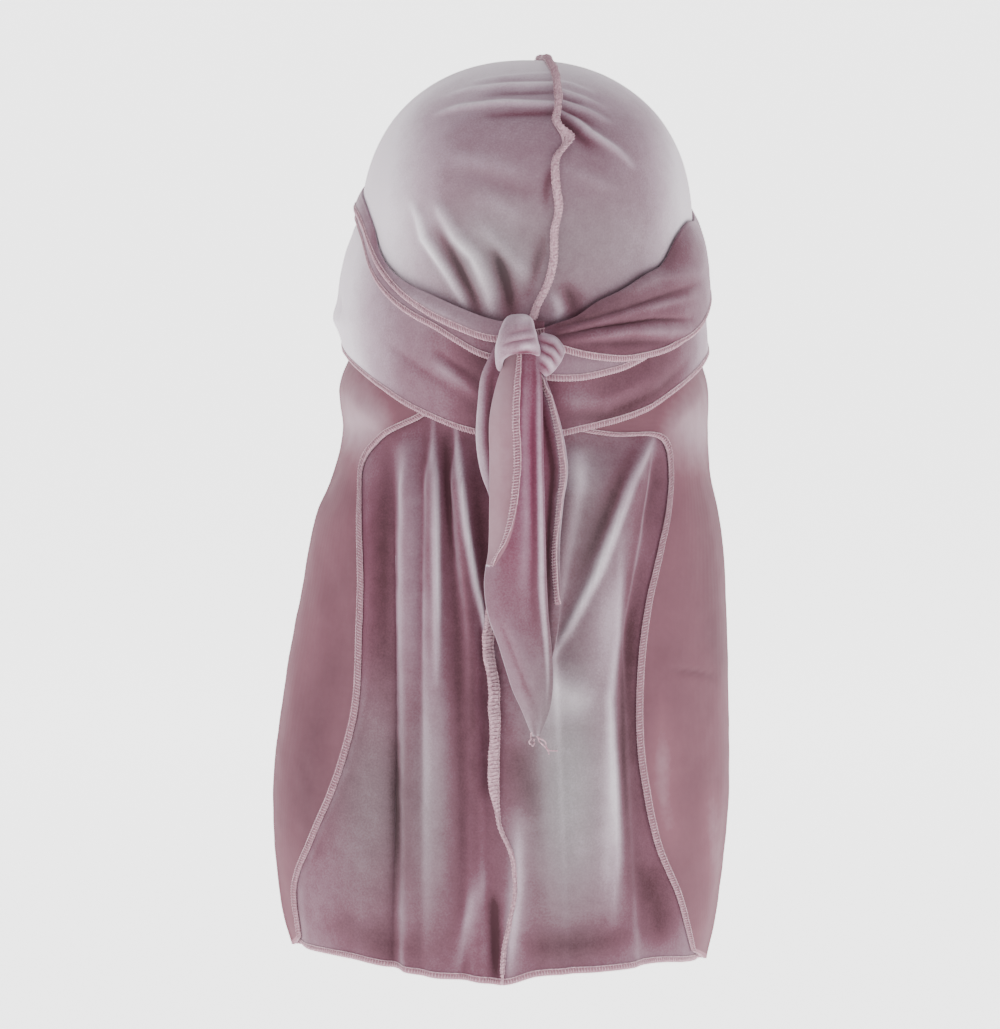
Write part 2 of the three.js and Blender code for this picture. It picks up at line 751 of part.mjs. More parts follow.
// A hanging tail: a strap folded lengthwise, its edges curled back and a ridge down one side.
function tailSolid(sections, sizes, columns, rows) {
  const { length, width, startDrop, curl, ridge } = sizes;
  const surface = (u, v) => {
    const section = along(sections, v);
    const x = mix(section.left, section.right, u) * width;
    const slack = smooth(v, 0, 0.2) * (1 - 0.6 * smooth(v, 0.8, 1));
    const bow = curl * Math.sin(Math.PI * u) + ridge * Math.sin(2 * Math.PI * u);
    const y = -(capHalfDepth + 3.4 * ply + (section.out * knotRise) / 2 + bow * slack);
    return new THREE.Vector3(x, y, capTop - startDrop - section.length * length);
  };
  return sheetSolid(surface, columns, rows, clothWall);
}

const frontTailSizes = {
  length: frontTailLength,
  width: frontTailWidth,
  startDrop: knotDrop,
  curl: tailCurl,
  ridge: tailRidge,
};
const backTailSizes = {
  length: backTailLength,
  width: backTailWidth,
  startDrop: knotDrop + tailStep,
  curl: tailCurl / 3,
  ridge: tailRidge / 2,
};

const pieces = {
  crown_left: { geometry: crownHalf(-1), color: 0xb79fb0 },
  crown_right: { geometry: crownHalf(1), color: 0xb79fb0 },
  crown_seam: { geometry: crownSeam(), color: 0xc9acba },
  cape_left: { geometry: capePanel(-1), color: 0xa47f92 },
  cape_right: { geometry: capePanel(1), color: 0xa47f92 },
  cape_seam: { geometry: capeSeam(), color: 0xc3a6b2 },
  strap_right: { geometry: strapSolid(strapRight, 58, 4), color: 0xb096a6 },
  strap_left: { geometry: strapSolid(strapLeft, 60, 3), color: 0xb096a6 },
  strap_left_ply: { geometry: strapSolid(strapLeftPly, 22, 2), color: 0xa98c9e },
  strap_right_ply: { geometry: strapSolid(strapRightPly, 12, 2), color: 0xa98c9e },
  knot_loop: { geometry: knotLoop(), color: 0xb79fae },
  knot_tuck: { geometry: knotTuck(), color: 0xb79fae },
  tail_front: {
    geometry: tailSolid(frontTail, frontTailSizes, 8, 18),
    color: 0xa98795,
  },
  tail_back: {
    geometry: tailSolid(backTail, backTailSizes, 7, 14),
    color: 0xa08092,
  },
};

const durag = new THREE.Group();
durag.name = 'durag';
for (const [name, { geometry, color }] of Object.entries(pieces)) {
  const material = new THREE.MeshStandardMaterial({ color, roughness: 0.85, metalness: 0 });
  const mesh = new THREE.Mesh(geometry, material);
  mesh.name = name;
  durag.add(mesh);
}

export default durag;
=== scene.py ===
# A velvet durag as it sits on a head: a seamed cap, two long straps wrapped round it and tied at
# the back, and a pleated cape. Lengths are in millimetres until a piece is finished.

import math

import bmesh
import bpy
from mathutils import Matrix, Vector, noise


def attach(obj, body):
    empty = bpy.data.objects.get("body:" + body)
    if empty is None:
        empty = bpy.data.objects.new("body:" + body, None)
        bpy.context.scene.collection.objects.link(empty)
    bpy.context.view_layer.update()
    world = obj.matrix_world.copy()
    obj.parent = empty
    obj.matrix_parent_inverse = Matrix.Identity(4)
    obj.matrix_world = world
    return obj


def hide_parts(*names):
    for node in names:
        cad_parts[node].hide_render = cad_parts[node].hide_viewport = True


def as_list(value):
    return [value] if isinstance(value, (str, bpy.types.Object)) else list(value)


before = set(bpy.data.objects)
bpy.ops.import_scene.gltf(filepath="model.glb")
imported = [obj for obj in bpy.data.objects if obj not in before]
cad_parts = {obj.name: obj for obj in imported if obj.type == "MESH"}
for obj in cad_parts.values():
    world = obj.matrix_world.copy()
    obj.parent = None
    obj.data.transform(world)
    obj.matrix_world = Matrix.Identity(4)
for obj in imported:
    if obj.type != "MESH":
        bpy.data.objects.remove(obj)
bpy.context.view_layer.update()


# ---- camera, at the photograph's angle

view = {"target": (-13, 0, -218), "distance": 1800, "elevation": 4, "lens": 133.34}


def placeCamera():
    tilt = math.radians(view["elevation"])
    back = Vector((0, -math.cos(tilt), math.sin(tilt))) * view["distance"]
    data = bpy.data.cameras.new("camera")
    data.sensor_fit = "HORIZONTAL"
    data.sensor_width = 36
    data.lens = view["lens"]
    camera = bpy.data.objects.new("camera", data)
    camera.location = (Vector(view["target"]) + back) * 0.001
    camera.rotation_euler = (math.pi / 2 - tilt, 0, 0)
    bpy.context.collection.objects.link(camera)
    bpy.context.scene.camera = camera


placeCamera()
print("camera placed")


# ---- small helpers

def mix(a, b, t):
    return a + (b - a) * t


def clamp(value, low=0.0, high=1.0):
    return min(max(value, low), high)


def smooth(value, low, high):
    t = clamp((value - low) / (high - low))
    return t * t * (3 - 2 * t)


def bump(distance, width):
    return math.exp(-((distance / width) ** 2))


def wobble(x, y, z, size):
    return noise.noise(Vector((x, y, z)) / size)


# Reads a table by its first column, smoothly between rows.
def readTable(rows, value):
    if value <= rows[0][0]:
        return rows[0]
    if value >= rows[-1][0]:
        return rows[-1]
    i = next(k for k in range(len(rows) - 1) if rows[k + 1][0] >= value)
    before, a, b = rows[max(i - 1, 0)], rows[i], rows[i + 1]
    after = rows[min(i + 2, len(rows) - 1)]
    span = b[0] - a[0]
    t = (value - a[0]) / span
    h1, h2 = t * t * (3 - 2 * t), t * (1 - t) ** 2
    h3 = t * t * (t - 1)
    result = []
    for k in range(len(a)):
        slopeA = (b[k] - before[k]) / (b[0] - before[0])
        slopeB = (after[k] - a[k]) / (after[0] - a[0])
        result.append(mix(a[k], b[k], h1) + span * (h2 * slopeA + h3 * slopeB))
    return result


# Reads a table smoothly at a place 0..1 along evenly spaced rows.
def readAlong(rows, place):
    at = clamp(place) * (len(rows) - 1)
    i = min(int(at), len(rows) - 2)
    t = at - i
    a, b, c, d = (rows[min(max(k, 0), len(rows) - 1)] for k in (i - 1, i, i + 1, i + 2))
    return [
        q + ((r - p) * t + (2 * p - 5 * q + 4 * r - s) * t * t + (3 * q - 3 * r + s - p) * t ** 3) / 2
        for p, q, r, s in zip(a, b, c, d)
    ]


# Folds are lines over a cloth, in its own millimetres: rise, shine, width, then points. A rise lifts
# the cloth. Shine pales the pile towards silver, or darkens it towards rose where it is below nought:
# mostly painted highlights on ridges and painted shade in valleys and hollows, in places brushed pile.
foldShape = {"reach": 2.6, "tip": 0.04, "taper": 0.85, "flank": 1.7}


def readFolds(folds, p, q):
    rise, shine = 0.0, 0.0
    for foldRise, foldShine, width, *path in folds:
        reach = foldShape["reach"] * width
        if not min(x for x, y in path) - reach < p < max(x for x, y in path) + reach:
            continue
        best, bestAt = 1e9, 0
        for k in range(len(path) - 1):
            (x0, y0), (x1, y1) = path[k], path[k + 1]
            dx, dy = x1 - x0, y1 - y0
            t = clamp(((p - x0) * dx + (q - y0) * dy) / (dx * dx + dy * dy))
            distance = math.hypot(p - x0 - dx * t, q - y0 - dy * t)
            if distance < best:
                best, bestAt = distance, (k + t) / (len(path) - 1)
        if best < reach:
            tip = foldShape["tip"]
            along = math.sin(math.pi * mix(tip, 1 - tip, bestAt)) ** foldShape["taper"]
            share = along * math.exp(-((best / width) ** foldShape["flank"]))
            rise += foldRise * share
            shine += foldShine * share
    return rise, shine


# ---- materials

def linear(hexColor):
    channels = [int(hexColor[i:i + 2], 16) / 255 for i in (1, 3, 5)]
    return [c / 12.92 if c <= 0.04045 else ((c + 0.055) / 1.055) ** 2.4 for c in channels] + [1]


def addNode(tree, kind, settings=None, inputs=None):
    node = tree.nodes.new(kind)
    for name, value in (settings or {}).items():
        setattr(node, name, value)
    for name, value in (inputs or {}).items():
        if isinstance(value, bpy.types.NodeSocket):
            tree.links.new(value, node.inputs[name])
        else:
            node.inputs[name].default_value = value
    return node


def startMaterial(name):
    material = bpy.data.materials.new(name)
    material.use_nodes = True
    tree = material.node_tree
    tree.nodes.clear()
    output = addNode(tree, "ShaderNodeOutputMaterial")
    shader = addNode(tree, "ShaderNodeBsdfPrincipled")
    tree.links.new(shader.outputs[0], output.inputs[0])
    return material, tree, shader


def setRamp(node, stops):
    ramp = node.color_ramp
    while len(ramp.elements) < len(stops):
        ramp.elements.new(0.5)
    for element, (position, color) in zip(ramp.elements, stops):
        element.position = position
        element.color = linear(color)


# Shades run from deep rose, for the depth of the pile and painted shade in folds and hollows, to
# silver, for its brushed tips, painted highlights and painted sheen. Mottles are noise: size in mm and
# how much it changes the shade. The nap and shade weight and grey say how far the cloth follows its
# brushed pile with painted light and shade, and its greyer patches. Rim is how much paler the colour
# is painted where the cloth is seen edge on: a painted sheen.
velvetLook = {
    "shades": [(0.0, "#46272F"), (0.25, "#6C4653"), (0.45, "#886D79"), (0.7, "#B09BA7"), (1.0, "#DCD2DA")],
    "mottles": [(30, 0.18), (6, 0.12), (0.9, 0.22)],  # real pile is about 0.3 mm and is drawn coarser to show
    "napAndShadeWeight": 1.0, "grey": 1.0, "rim": 0.42, "sheen": 0.2, "roughness": 0.8, "thread": "#AC808C",
}
reverseLook = {
    "shades": [(0.0, "#4C2F38"), (0.5, "#7E535E"), (1.0, "#B59DA6")],
    "mottles": [(42, 0.3), (3, 0.1)],
    "napAndShadeWeight": 0.5, "grey": 0.1, "rim": 0.25, "sheen": 0.12, "roughness": 0.72, "thread": "#AC808C",
    "wale": 1.1,  # mm from one rib to the next
}
threadLook = {"low": "#9E7581", "high": "#CCA9B3"}


# The overlocking, in mm
serging = {"pitch": 1.35, "bite": 2.7, "thread": 0.26, "slant": 0.6}


# Shades a cloth by its mesh's brushed pile with painted highlights and painted shade, paler where
# the cloth is seen edge on as a painted sheen, greyer by "grey", and paler under the overlocking,
# where "edge" is small.
def shadeCloth(tree, shader, look):
    place = addNode(tree, "ShaderNodeTexCoord").outputs["Object"]
    napAndShade = addNode(tree, "ShaderNodeAttribute", {"attribute_name": "napAndShade"}).outputs["Fac"]
    grey = addNode(tree, "ShaderNodeAttribute", {"attribute_name": "grey"}).outputs["Fac"]
    edge = addNode(tree, "ShaderNodeAttribute", {"attribute_name": "edge"}).outputs["Fac"]
    facing = addNode(tree, "ShaderNodeLayerWeight", inputs={"Blend": 0.4}).outputs["Facing"]
    shade = addNode(tree, "ShaderNodeMath", {"operation": "MULTIPLY_ADD"}, {
        0: napAndShade, 1: look["napAndShadeWeight"], 2: 0.3 - 0.3 * look["napAndShadeWeight"]}).outputs[0]
    for size, amount in look["mottles"]:
        mottle = addNode(tree, "ShaderNodeTexNoise", inputs={
            "Vector": place, "Scale": 1000 / size, "Detail": 3, "Roughness": 0.6}).outputs["Fac"]
        offset = addNode(tree, "ShaderNodeMath", {"operation": "MULTIPLY_ADD"}, {
            0: mottle, 1: amount, 2: -amount / 2})
        shade = addNode(tree, "ShaderNodeMath", inputs={0: shade, 1: offset.outputs[0]}).outputs[0]
    # Painted sheen: the colour pales by the look's rim where the cloth is seen edge on.
    shade = addNode(tree, "ShaderNodeMath", {"operation": "MULTIPLY_ADD", "use_clamp": True}, {
        0: facing, 1: look["rim"], 2: shade}).outputs[0]
    color = addNode(tree, "ShaderNodeValToRGB", inputs={"Fac": shade})
    setRamp(color, look["shades"])
    faded = addNode(tree, "ShaderNodeMath", {"operation": "MULTIPLY_ADD"}, {
        0: grey, 1: -look["grey"], 2: 1.0})
    greyed = addNode(tree, "ShaderNodeHueSaturation", inputs={
        "Saturation": faded.outputs[0], "Color": color.outputs[0]})
    band = addNode(tree, "ShaderNodeMapRange", {"interpolation_type": "SMOOTHSTEP"}, {
        "Value": edge, "From Min": serging["bite"] - 0.4, "From Max": serging["bite"] + 0.2,
        "To Min": 0.65, "To Max": 0.0})
    mixed = addNode(tree, "ShaderNodeMix", {"data_type": "RGBA"}, {
        "Factor": band.outputs[0], "A": greyed.outputs[0], "B": linear(look["thread"])})
    tree.links.new(mixed.outputs["Result"], shader.inputs["Base Color"])
    shader.inputs["Roughness"].default_value = look["roughness"]
    shader.inputs["Specular IOR Level"].default_value = 0.25
    shader.inputs["Sheen Weight"].default_value = look["sheen"]
    shader.inputs["Sheen Roughness"].default_value = 0.35
    shader.inputs["Sheen Tint"].default_value = linear("#F0E4EA")
    return mottle


# Stretch velvet: short polyester pile. It turns silvery where it is brushed, with painted highlights on
# ridges and a painted sheen where it is seen edge on, and deep rose as painted shade in the folds.
def makeVelvet(name, look):
    material, tree, shader = startMaterial(name)
    pile = shadeCloth(tree, shader, look)
    raised = addNode(tree, "ShaderNodeBump", inputs={"Strength": 0.3, "Distance": 0.0005, "Height": pile})
    tree.links.new(raised.outputs[0], shader.inputs["Normal"])
    return material


# The knitted back of the velvet: smooth and matt, with fine upright wales.
def makeReverse(name, look):
    material, tree, shader = startMaterial(name)
    shadeCloth(tree, shader, look)
    cut = addNode(tree, "ShaderNodeTexCoord").outputs["UV"]
    wales = addNode(tree, "ShaderNodeTexWave", {"bands_direction": "X"}, {
        "Vector": cut, "Scale": 1000 / look["wale"] / 6.283, "Distortion": 1.5, "Detail": 1})
    raised = addNode(tree, "ShaderNodeBump", inputs={
        "Strength": 0.08, "Distance": 0.0003, "Height": wales.outputs["Fac"]})
    tree.links.new(raised.outputs[0], shader.inputs["Normal"])
    return material


# Overlock thread: fuzzy spun polyester.
def makeThread(name, look):
    material, tree, shader = startMaterial(name)
    place = addNode(tree, "ShaderNodeTexCoord").outputs["Object"]
    fuzz = addNode(tree, "ShaderNodeTexNoise", inputs={"Vector": place, "Scale": 900, "Detail": 2})
    tone = addNode(tree, "ShaderNodeValToRGB", inputs={"Fac": fuzz.outputs["Fac"]})
    setRamp(tone, [(0.3, look["low"]), (0.7, look["high"])])
    tree.links.new(tone.outputs[0], shader.inputs["Base Color"])
    shader.inputs["Roughness"].default_value = 0.75
    shader.inputs["Sheen Weight"].default_value = 0.2
    return material


velvet = makeVelvet("stretchVelvet", velvetLook)
reverse = makeReverse("velvetReverse", reverseLook)
thread = makeThread("overlockThread", threadLook)
print("materials made")


# ---- the head's shape, shared by the cap, the straps and the cape's top

head = {"halfWidth": 78.4, "halfDepth": 96.4, "domeHeight": 79, "domePower": 2.2, "napeTaper": 26,
        "napeDrop": 156, "browDrop": 86}
cloth = {"wall": 1.2, "plyGap": 0.65}
ply = cloth["wall"] + cloth["plyGap"]
capHalfWidth = head["halfWidth"] + cloth["wall"] / 2
capHalfDepth = head["halfDepth"] + cloth["wall"] / 2
capTop = cloth["wall"] / 2
domeHeight = head["domeHeight"]


def headShare(drop):
    if drop < domeHeight:
        rise = clamp((domeHeight - drop) / domeHeight)
        return (1 - rise ** head["domePower"]) ** (1 / head["domePower"])
    return 1 - head["napeTaper"] / capHalfWidth * ((drop - domeHeight) / capHalfWidth / 2) ** 2


# Turn is in degrees from the back's middle, positive to the right. Drop is below the cap's top.
def headPoint(turn, drop, lift=0.0):
    share = headShare(drop)
    angle = math.radians(turn)
    x = (capHalfWidth * share + lift) * math.sin(angle)
    y = -(capHalfDepth * share + lift) * math.cos(angle)
    return Vector((x, y, capTop - drop))


# Slides a point sideways and puts it back on the head.
def slidePoint(point, distance):
    x = (point.x + distance) / capHalfWidth
    y = point.y / capHalfDepth
    height = (point.z - capTop + domeHeight) / domeHeight
    around = math.hypot(x, y)
    scale, rise = headShare(capTop - point.z) / max(around, 1e-6), height
    if height > 0:
        power = head["domePower"]
        scale = (around ** power + height ** power) ** (-1 / power)
        rise = height * scale
    z = capTop - domeHeight + rise * domeHeight
    return Vector((x * scale * capHalfWidth, y * scale * capHalfDepth, z))


# The angle down from the top, over the dome and then straight down, and the drop that it gives.
def dropAt(angle):
    if angle < math.pi / 2:
        return domeHeight * (1 - math.cos(angle))
    return domeHeight * (1 + angle - math.pi / 2)


def angleAt(drop):
    if drop < domeHeight:
        return math.acos(clamp(1 - drop / domeHeight, -1, 1))
    return math.pi / 2 + drop / domeHeight - 1


# ---- making and finishing a cloth

grids = {}
farFromEdge = 12.0  # an edge distance past the overlocking
# Greyer patches: amount, pinker below nought, then x and drop of the middle and the reach each way
greys = [
    (0.5, -17, 92, 32, 26), (0.3, 38, 88, 30, 26), (0.75, 18, 335, 20, 62), (0.35, 25, 215, 18, 40),
    (0.45, -73, 345, 20, 52), (0.3, -45, 350, 10, 50), (0.25, 88, 260, 16, 90), (-0.35, 0, 190, 14, 62),
    (-0.2, -92, 250, 20, 80),
]


def greyAt(point):
    if point.y > 0:
        return 0.0
    drop = capTop - point.z
    total = sum(
        amount * bump(point.x - x, reachX) * bump(drop - y, reachY)
        for amount, x, y, reachX, reachY in greys)
    return clamp(total, -0.4, 1.0)


# Turns a built mesh into a smooth piece in the scene.
def makePiece(name, built, materials):
    for face in built.faces:
        face.smooth = True
    mesh = bpy.data.meshes.new(name)
    built.to_mesh(mesh)
    built.free()
    for material in materials:
        mesh.materials.append(material)
    piece = bpy.data.objects.new(name, mesh)
    bpy.context.collection.objects.link(piece)
    return piece


# Lays a grid over a surface, lifts it along its normal by its own detail, and gives it a wall.
def layCloth(name, surface, detail, columns, rows, size, wall=cloth["wall"], outward=None, turnedAt=None):
    sheet = bmesh.new()
    bmesh.ops.create_grid(sheet, x_segments=columns, y_segments=rows, size=0.5)
    napAndShadeLayer = sheet.verts.layers.float.new("napAndShade")
    edgeLayer = sheet.verts.layers.float.new("edge")
    greyLayer = sheet.verts.layers.float.new("grey")
    cutLayer = sheet.loops.layers.uv.new("cut")
    places = {}
    for vert in sheet.verts:
        places[vert] = (vert.co.x + 0.5, vert.co.y + 0.5)
    for face in sheet.faces:
        for loop in face.loops:
            u, v = places[loop.vert]
            loop[cutLayer].uv = (u * size[0] * 0.001, v * size[1] * 0.001)
    for vert, (u, v) in places.items():
        vert.co = surface(u, v)
    sheet.normal_update()
    if outward is None:
        facing = sum(vert.normal.x * vert.co.x + vert.normal.y * vert.co.y for vert in sheet.verts)
    else:
        facing = sum(vert.normal.dot(outward) for vert in sheet.verts)
    if facing < 0:
        bmesh.ops.reverse_faces(sheet, faces=sheet.faces)
        sheet.normal_update()
    lifts = []
    for vert, (u, v) in places.items():
        rise, napAndShade, edge = detail(u, v, vert.co)
        vert[napAndShadeLayer] = napAndShade
        vert[edgeLayer] = edge
        vert[greyLayer] = greyAt(vert.co)
        lifts.append((vert, vert.normal * rise))
    for vert, lift in lifts:
        vert.co += lift
    if turnedAt:
        for face in sheet.faces:
            u, v = (sum(places[vert][k] for vert in face.verts) / len(face.verts) for k in (0, 1))
            face.material_index = 1 if turnedAt(u, v) else 0
    sheet.normal_update()
    grid = {}
    for vert, (u, v) in places.items():
        grid[round(u * columns), round(v * rows)] = (vert.co.copy(), vert.normal.copy())
    grids[name] = grid
    bmesh.ops.remove_doubles(sheet, verts=sheet.verts, dist=0.01)
    bmesh.ops.scale(sheet, vec=(0.001, 0.001, 0.001), verts=sheet.verts)
    piece = makePiece(name, sheet, (velvet, reverse))
    solid = piece.modifiers.new("wall", "SOLIDIFY")
    solid.thickness = wall * 0.001
    solid.offset = 0
    solid.material_offset = 1
    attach(piece, "root")
    return piece


# Wraps a grid round a run of stations to a closed tube of thread. place(angle, i) gives its points.
def layTube(name, place, around, count):
    tube = bmesh.new()
    bmesh.ops.create_grid(tube, x_segments=around, y_segments=count - 1, size=0.5)
    for vert in tube.verts:
        turn, i = (vert.co.x + 0.5) * 2 * math.pi, round((vert.co.y + 0.5) * (count - 1))
        vert.co = place(turn, i) * 0.001
    bmesh.ops.remove_doubles(tube, verts=tube.verts, dist=1e-6)
    bmesh.ops.holes_fill(tube, edges=[edge for edge in tube.edges if edge.is_boundary])
    bmesh.ops.recalc_face_normals(tube, faces=tube.faces)
    piece = makePiece(name, tube, (thread,))
    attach(piece, "root")
    return piece


# Thread runs as one curve: each run is a list of points with their thickness.
def layThread(name, runs, thickness):
    curve = bpy.data.curves.new(name, "CURVE")
    curve.dimensions = "3D"
    curve.bevel_depth = thickness * 0.001
    curve.bevel_resolution = 0
    curve.use_fill_caps = True
    for run in runs:
        spline = curve.splines.new("POLY")
        spline.points.add(len(run) - 1)
        for target, (place, radius) in zip(spline.points, run):
            target.co = (*(place * 0.001), 1)
            target.radius = radius
    curve.materials.append(thread)
    piece = bpy.data.objects.new(name, curve)
    bpy.context.collection.objects.link(piece)
    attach(piece, "root")
    return piece


# Overlock stitches over a cut edge: threads across it like a ladder, a needle line, and a lip of
# thread along the edge. A line gives points of the edge with the way into the cloth and its normal.
def sergeEdges(name, lines, bite=serging["bite"]):
    half = cloth["wall"] / 2
    slant, pitch = serging["slant"], serging["pitch"]
    runs = []
    for line in lines:
        stations = spaceOut(line, pitch)
        zigzag, needle, lip = [], [], []
        for i, (point, inward, normal) in enumerate(stations):
            ahead = stations[min(i + 1, len(stations) - 1)][0] - stations[max(i - 1, 0)][0]
            ahead.normalize()
            hole = point + inward * bite + normal * (half + 0.02)
            zigzag += [
                (hole, 0.8),
                (point + inward * bite * 0.5 + ahead * 0.45 * slant + normal * (half + 0.4), 1.0),
                (point - inward * 0.3 + ahead * slant + normal * 0.3, 1.0),
                (point + inward * 0.1 + ahead * (slant + 0.3) - normal * (half + 0.1), 0.8),
            ]
            needle += [(hole - ahead * 0.2, 0.9), (hole + ahead * pitch * 0.5 + normal * 0.28, 1.2)]
            lip += [(point + inward * 0.15, 1.6), (point + ahead * pitch * 0.5, 2.0)]
        runs += [zigzag, needle, lip]
    return layThread(name, runs, serging["thread"])


def spaceOut(line, pitch):
    stations, carried = [line[0]], 0.0
    for (a, inA, upA), (b, inB, upB) in zip(line, line[1:]):
        length = (b - a).length
        at = pitch - carried
        while at <= length:
            t = at / length
            stations.append((a.lerp(b, t), inA.lerp(inB, t).normalized(), upA.lerp(upB, t).normalized()))
            at += pitch
        carried = length - (at - pitch)
    return stations


# Reads a line along one side of a cloth: its points, the way in and the normal.
def edgeLine(name, columns, rows, side, start=0.0, end=1.0, outside=1):
    grid = grids[name]
    count = rows if side in ("left", "right") else columns
    line = []
    for i in range(round(start * count), round(end * count) + 1):
        at, inner = {
            "bottom": ((i, rows), (i, rows - 2)),
            "top": ((i, 0), (i, 2)),
            "left": ((0, i), (2, i)),
            "right": ((columns, i), (columns - 2, i)),
        }[side]
        point, normal = grid[at]
        inward = (grid[inner][0] - point).normalized()
        normal = normal * outside
        line.append((point, inward, (normal - inward * normal.dot(inward)).normalized()))
    return line


# ---- crown

crown = {
    "columns": 150,
    "rows": 165,
    "seamGap": 0.15,
    "seamWander": 16,
    "pleatScale": 88,
    # how silvery: at the back, on the right of it, and as a painted sheen towards the sides and over the top
    "napAndShade": {"back": 0.38, "right": -0.04, "sides": 0.52, "top": 0.36},
    # how far the seam wanders down the back: share of the nape's drop, share of the wander
    "seamPath": [
        (0, 0.55), (0.06, 0.78), (0.16, 0.84), (0.2, 0.78), (0.245, 1.0), (0.27, 1.02), (0.31, 0.78),
        (0.38, 0.74), (0.46, 0.84), (0.53, 0.72), (0.6, 0.7), (0.68, 0.52), (0.76, 0.16), (0.9, 0), (1, 0),
    ],
    # in (x, arc): gathers on each half, which start past the seam, then soft bands and drape folds
    # shine paints highlights on the ridges and shade in the valleys
    "folds": {
        -1: [
            (0.9, 0.12, 1.6, (24, 38), (10, 41), (-4, 44), (-18, 47), (-25, 50)),
            (-0.4, -0.14, 2.0, (24, 46), (10, 48.5), (-8, 49.5), (-22, 52)),
            (1.5, 0.26, 1.7, (26, 52), (11, 53), (-8, 54), (-26, 57), (-38, 62)),
            (-0.8, -0.26, 2.4, (26, 60), (10, 60), (-8, 61), (-22, 63)),
            (2.0, 0.34, 1.8, (26, 69.5), (12, 70), (-11, 69), (-32, 72), (-42, 76)),
            (-1.0, -0.3, 3.0, (26, 76), (11, 76), (-6, 77), (-22, 78)),
            (-0.5, -0.24, 2.0, (11, 108), (9, 114), (8, 121), (8, 130)),
            (-0.9, -0.26, 3.0, (8, 142), (5, 153), (2, 166), (0, 176)),
        ],
        0: [
            (0.5, 0.12, 4.5, (-41, 101), (-22, 106), (1, 113)),
            (-0.5, -0.08, 5.0, (-30, 110), (-12, 117), (4, 124)),
            (0.5, 0.1, 4.5, (-27, 120), (-13, 128), (1, 138)),
            (0.5, 0.08, 4.0, (14, 108), (28, 115), (44, 122)),
            (2.4, 0.5, 1.7, (-53, 127), (-50, 134), (-47, 145), (-38, 160), (-31, 173), (-28, 181)),
            (3.2, 0.42, 2.4, (-42, 127), (-39, 132), (-32, 145), (-24, 154), (-20, 164), (-17, 173),
             (-16, 184)),
            (-2.2, -0.5, 3.0, (-42, 140), (-36, 151), (-30, 164), (-25, 176), (-22, 184)),
            (-2.8, -0.62, 3.6, (-16, 149), (-12, 160), (-9, 172), (-7, 186)),
            (1.4, 0.16, 3.5, (-22, 137), (-15, 146), (-3, 160), (4, 170)),
            (1.5, 0.28, 2.4, (10, 172), (14, 181), (13, 188)),
            (-1.0, -0.32, 4.5, (16, 166), (20, 176), (22, 186)),
        ],
        1: [
            (0.9, 0.16, 1.5, (0, 45), (13, 50), (20, 53), (30, 60)),
            (1.4, 0.22, 1.6, (0, 51), (14, 59), (24, 65), (36, 73)),
            (-0.6, -0.2, 2.0, (0, 56), (14, 64), (26, 71)),
            (1.6, 0.26, 1.6, (0, 60), (13, 67), (27, 75), (38, 83)),
            (-0.8, -0.24, 2.0, (0, 64), (13, 72), (24, 79), (31, 85)),
            (2.2, 0.42, 1.7, (0, 66), (13, 74), (21, 81), (28, 89), (40, 99), (48, 108)),
            (-1.2, -0.4, 3.4, (2, 70), (15, 80), (22, 89), (30, 99)),
        ],
    },
}


def seamShift(drop, isFront):
    shift = readTable(crown["seamPath"], drop / head["napeDrop"])[1] * crown["seamWander"]
    if not isFront:
        return shift
    return crown["seamPath"][0][1] * crown["seamWander"] * (1 - smooth(drop, 0, head["browDrop"] / 2))


def capEdgeDrop(turn):
    return mix(head["browDrop"], head["napeDrop"], smooth(math.cos(math.radians(turn)), -0.8, 1))


def capPoint(turn, drop, side):
    point = headPoint(turn, drop)
    fade = clamp(1 - abs(point.x) / capHalfWidth)
    slid = slidePoint(point, seamShift(drop, math.cos(math.radians(turn)) < 0) * fade)
    slid.x += side * crown["seamGap"]
    return slid


def crownFolds(point, side):
    drop = capTop - point.z
    arc = angleAt(drop) * crown["pleatScale"]
    if point.y > 5:
        return 0.0, 0.0
    rise, shine = readFolds(crown["folds"][0] + crown["folds"][side], point.x, arc)
    fade = smooth(-point.y, -5, 20)
    return rise * fade * (1 - smooth(drop, 112, 124)), shine * fade


def crownHalf(side, name):
    napAndShade = crown["napAndShade"]

    def surface(u, v):
        turn = side * 180 * (0.5 * u + 0.5 * u * u)
        return capPoint(turn, dropAt(v * angleAt(capEdgeDrop(turn))), side)

    def detail(u, v, point):
        if v == 0:
            return 0.0, 0.5, farFromEdge
        rise, shine = crownFolds(point, side)
        drop = capTop - point.z
        soft = 0.5 * wobble(point.x, point.y, point.z, 26) * smooth(drop, 4, 30)
        # Painted sheen: paler towards the sides and over the top, where the dome turns away.
        sides = max(smooth(-point.x, 30, 79), smooth(point.x, 50, 82)) * (1 - 0.7 * smooth(point.y, -10, 40))
        silver = napAndShade["back"] + napAndShade["right"] * smooth(point.x, 10, 34) + napAndShade["sides"] * sides
        silver += napAndShade["top"] * (1 - smooth(drop, 2, 32))
        return rise + soft, silver + shine, farFromEdge

    return layCloth(name, surface, detail, crown["columns"], crown["rows"], (300, 210))


for side, node in ((-1, "crown_left"), (1, "crown_right")):
    piece = crownHalf(side, node + "Cloth")
    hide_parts(node)
print("crown made")


# ---- seams: a raised, overlocked fin

fin = {
    "wall": 3, "height": 3.6, "ruffle": 0.9, "step": 0.9, "root": 0.2, "pitch": 1.7,
    "around": 12, "thread": 0.32,
    # the thread over the fin: share of the pitch and turn round it
    "ladder": [(0.0, 1.5), (0.2, 2.5), (0.45, 3.5), (0.7, 4.7)],
}


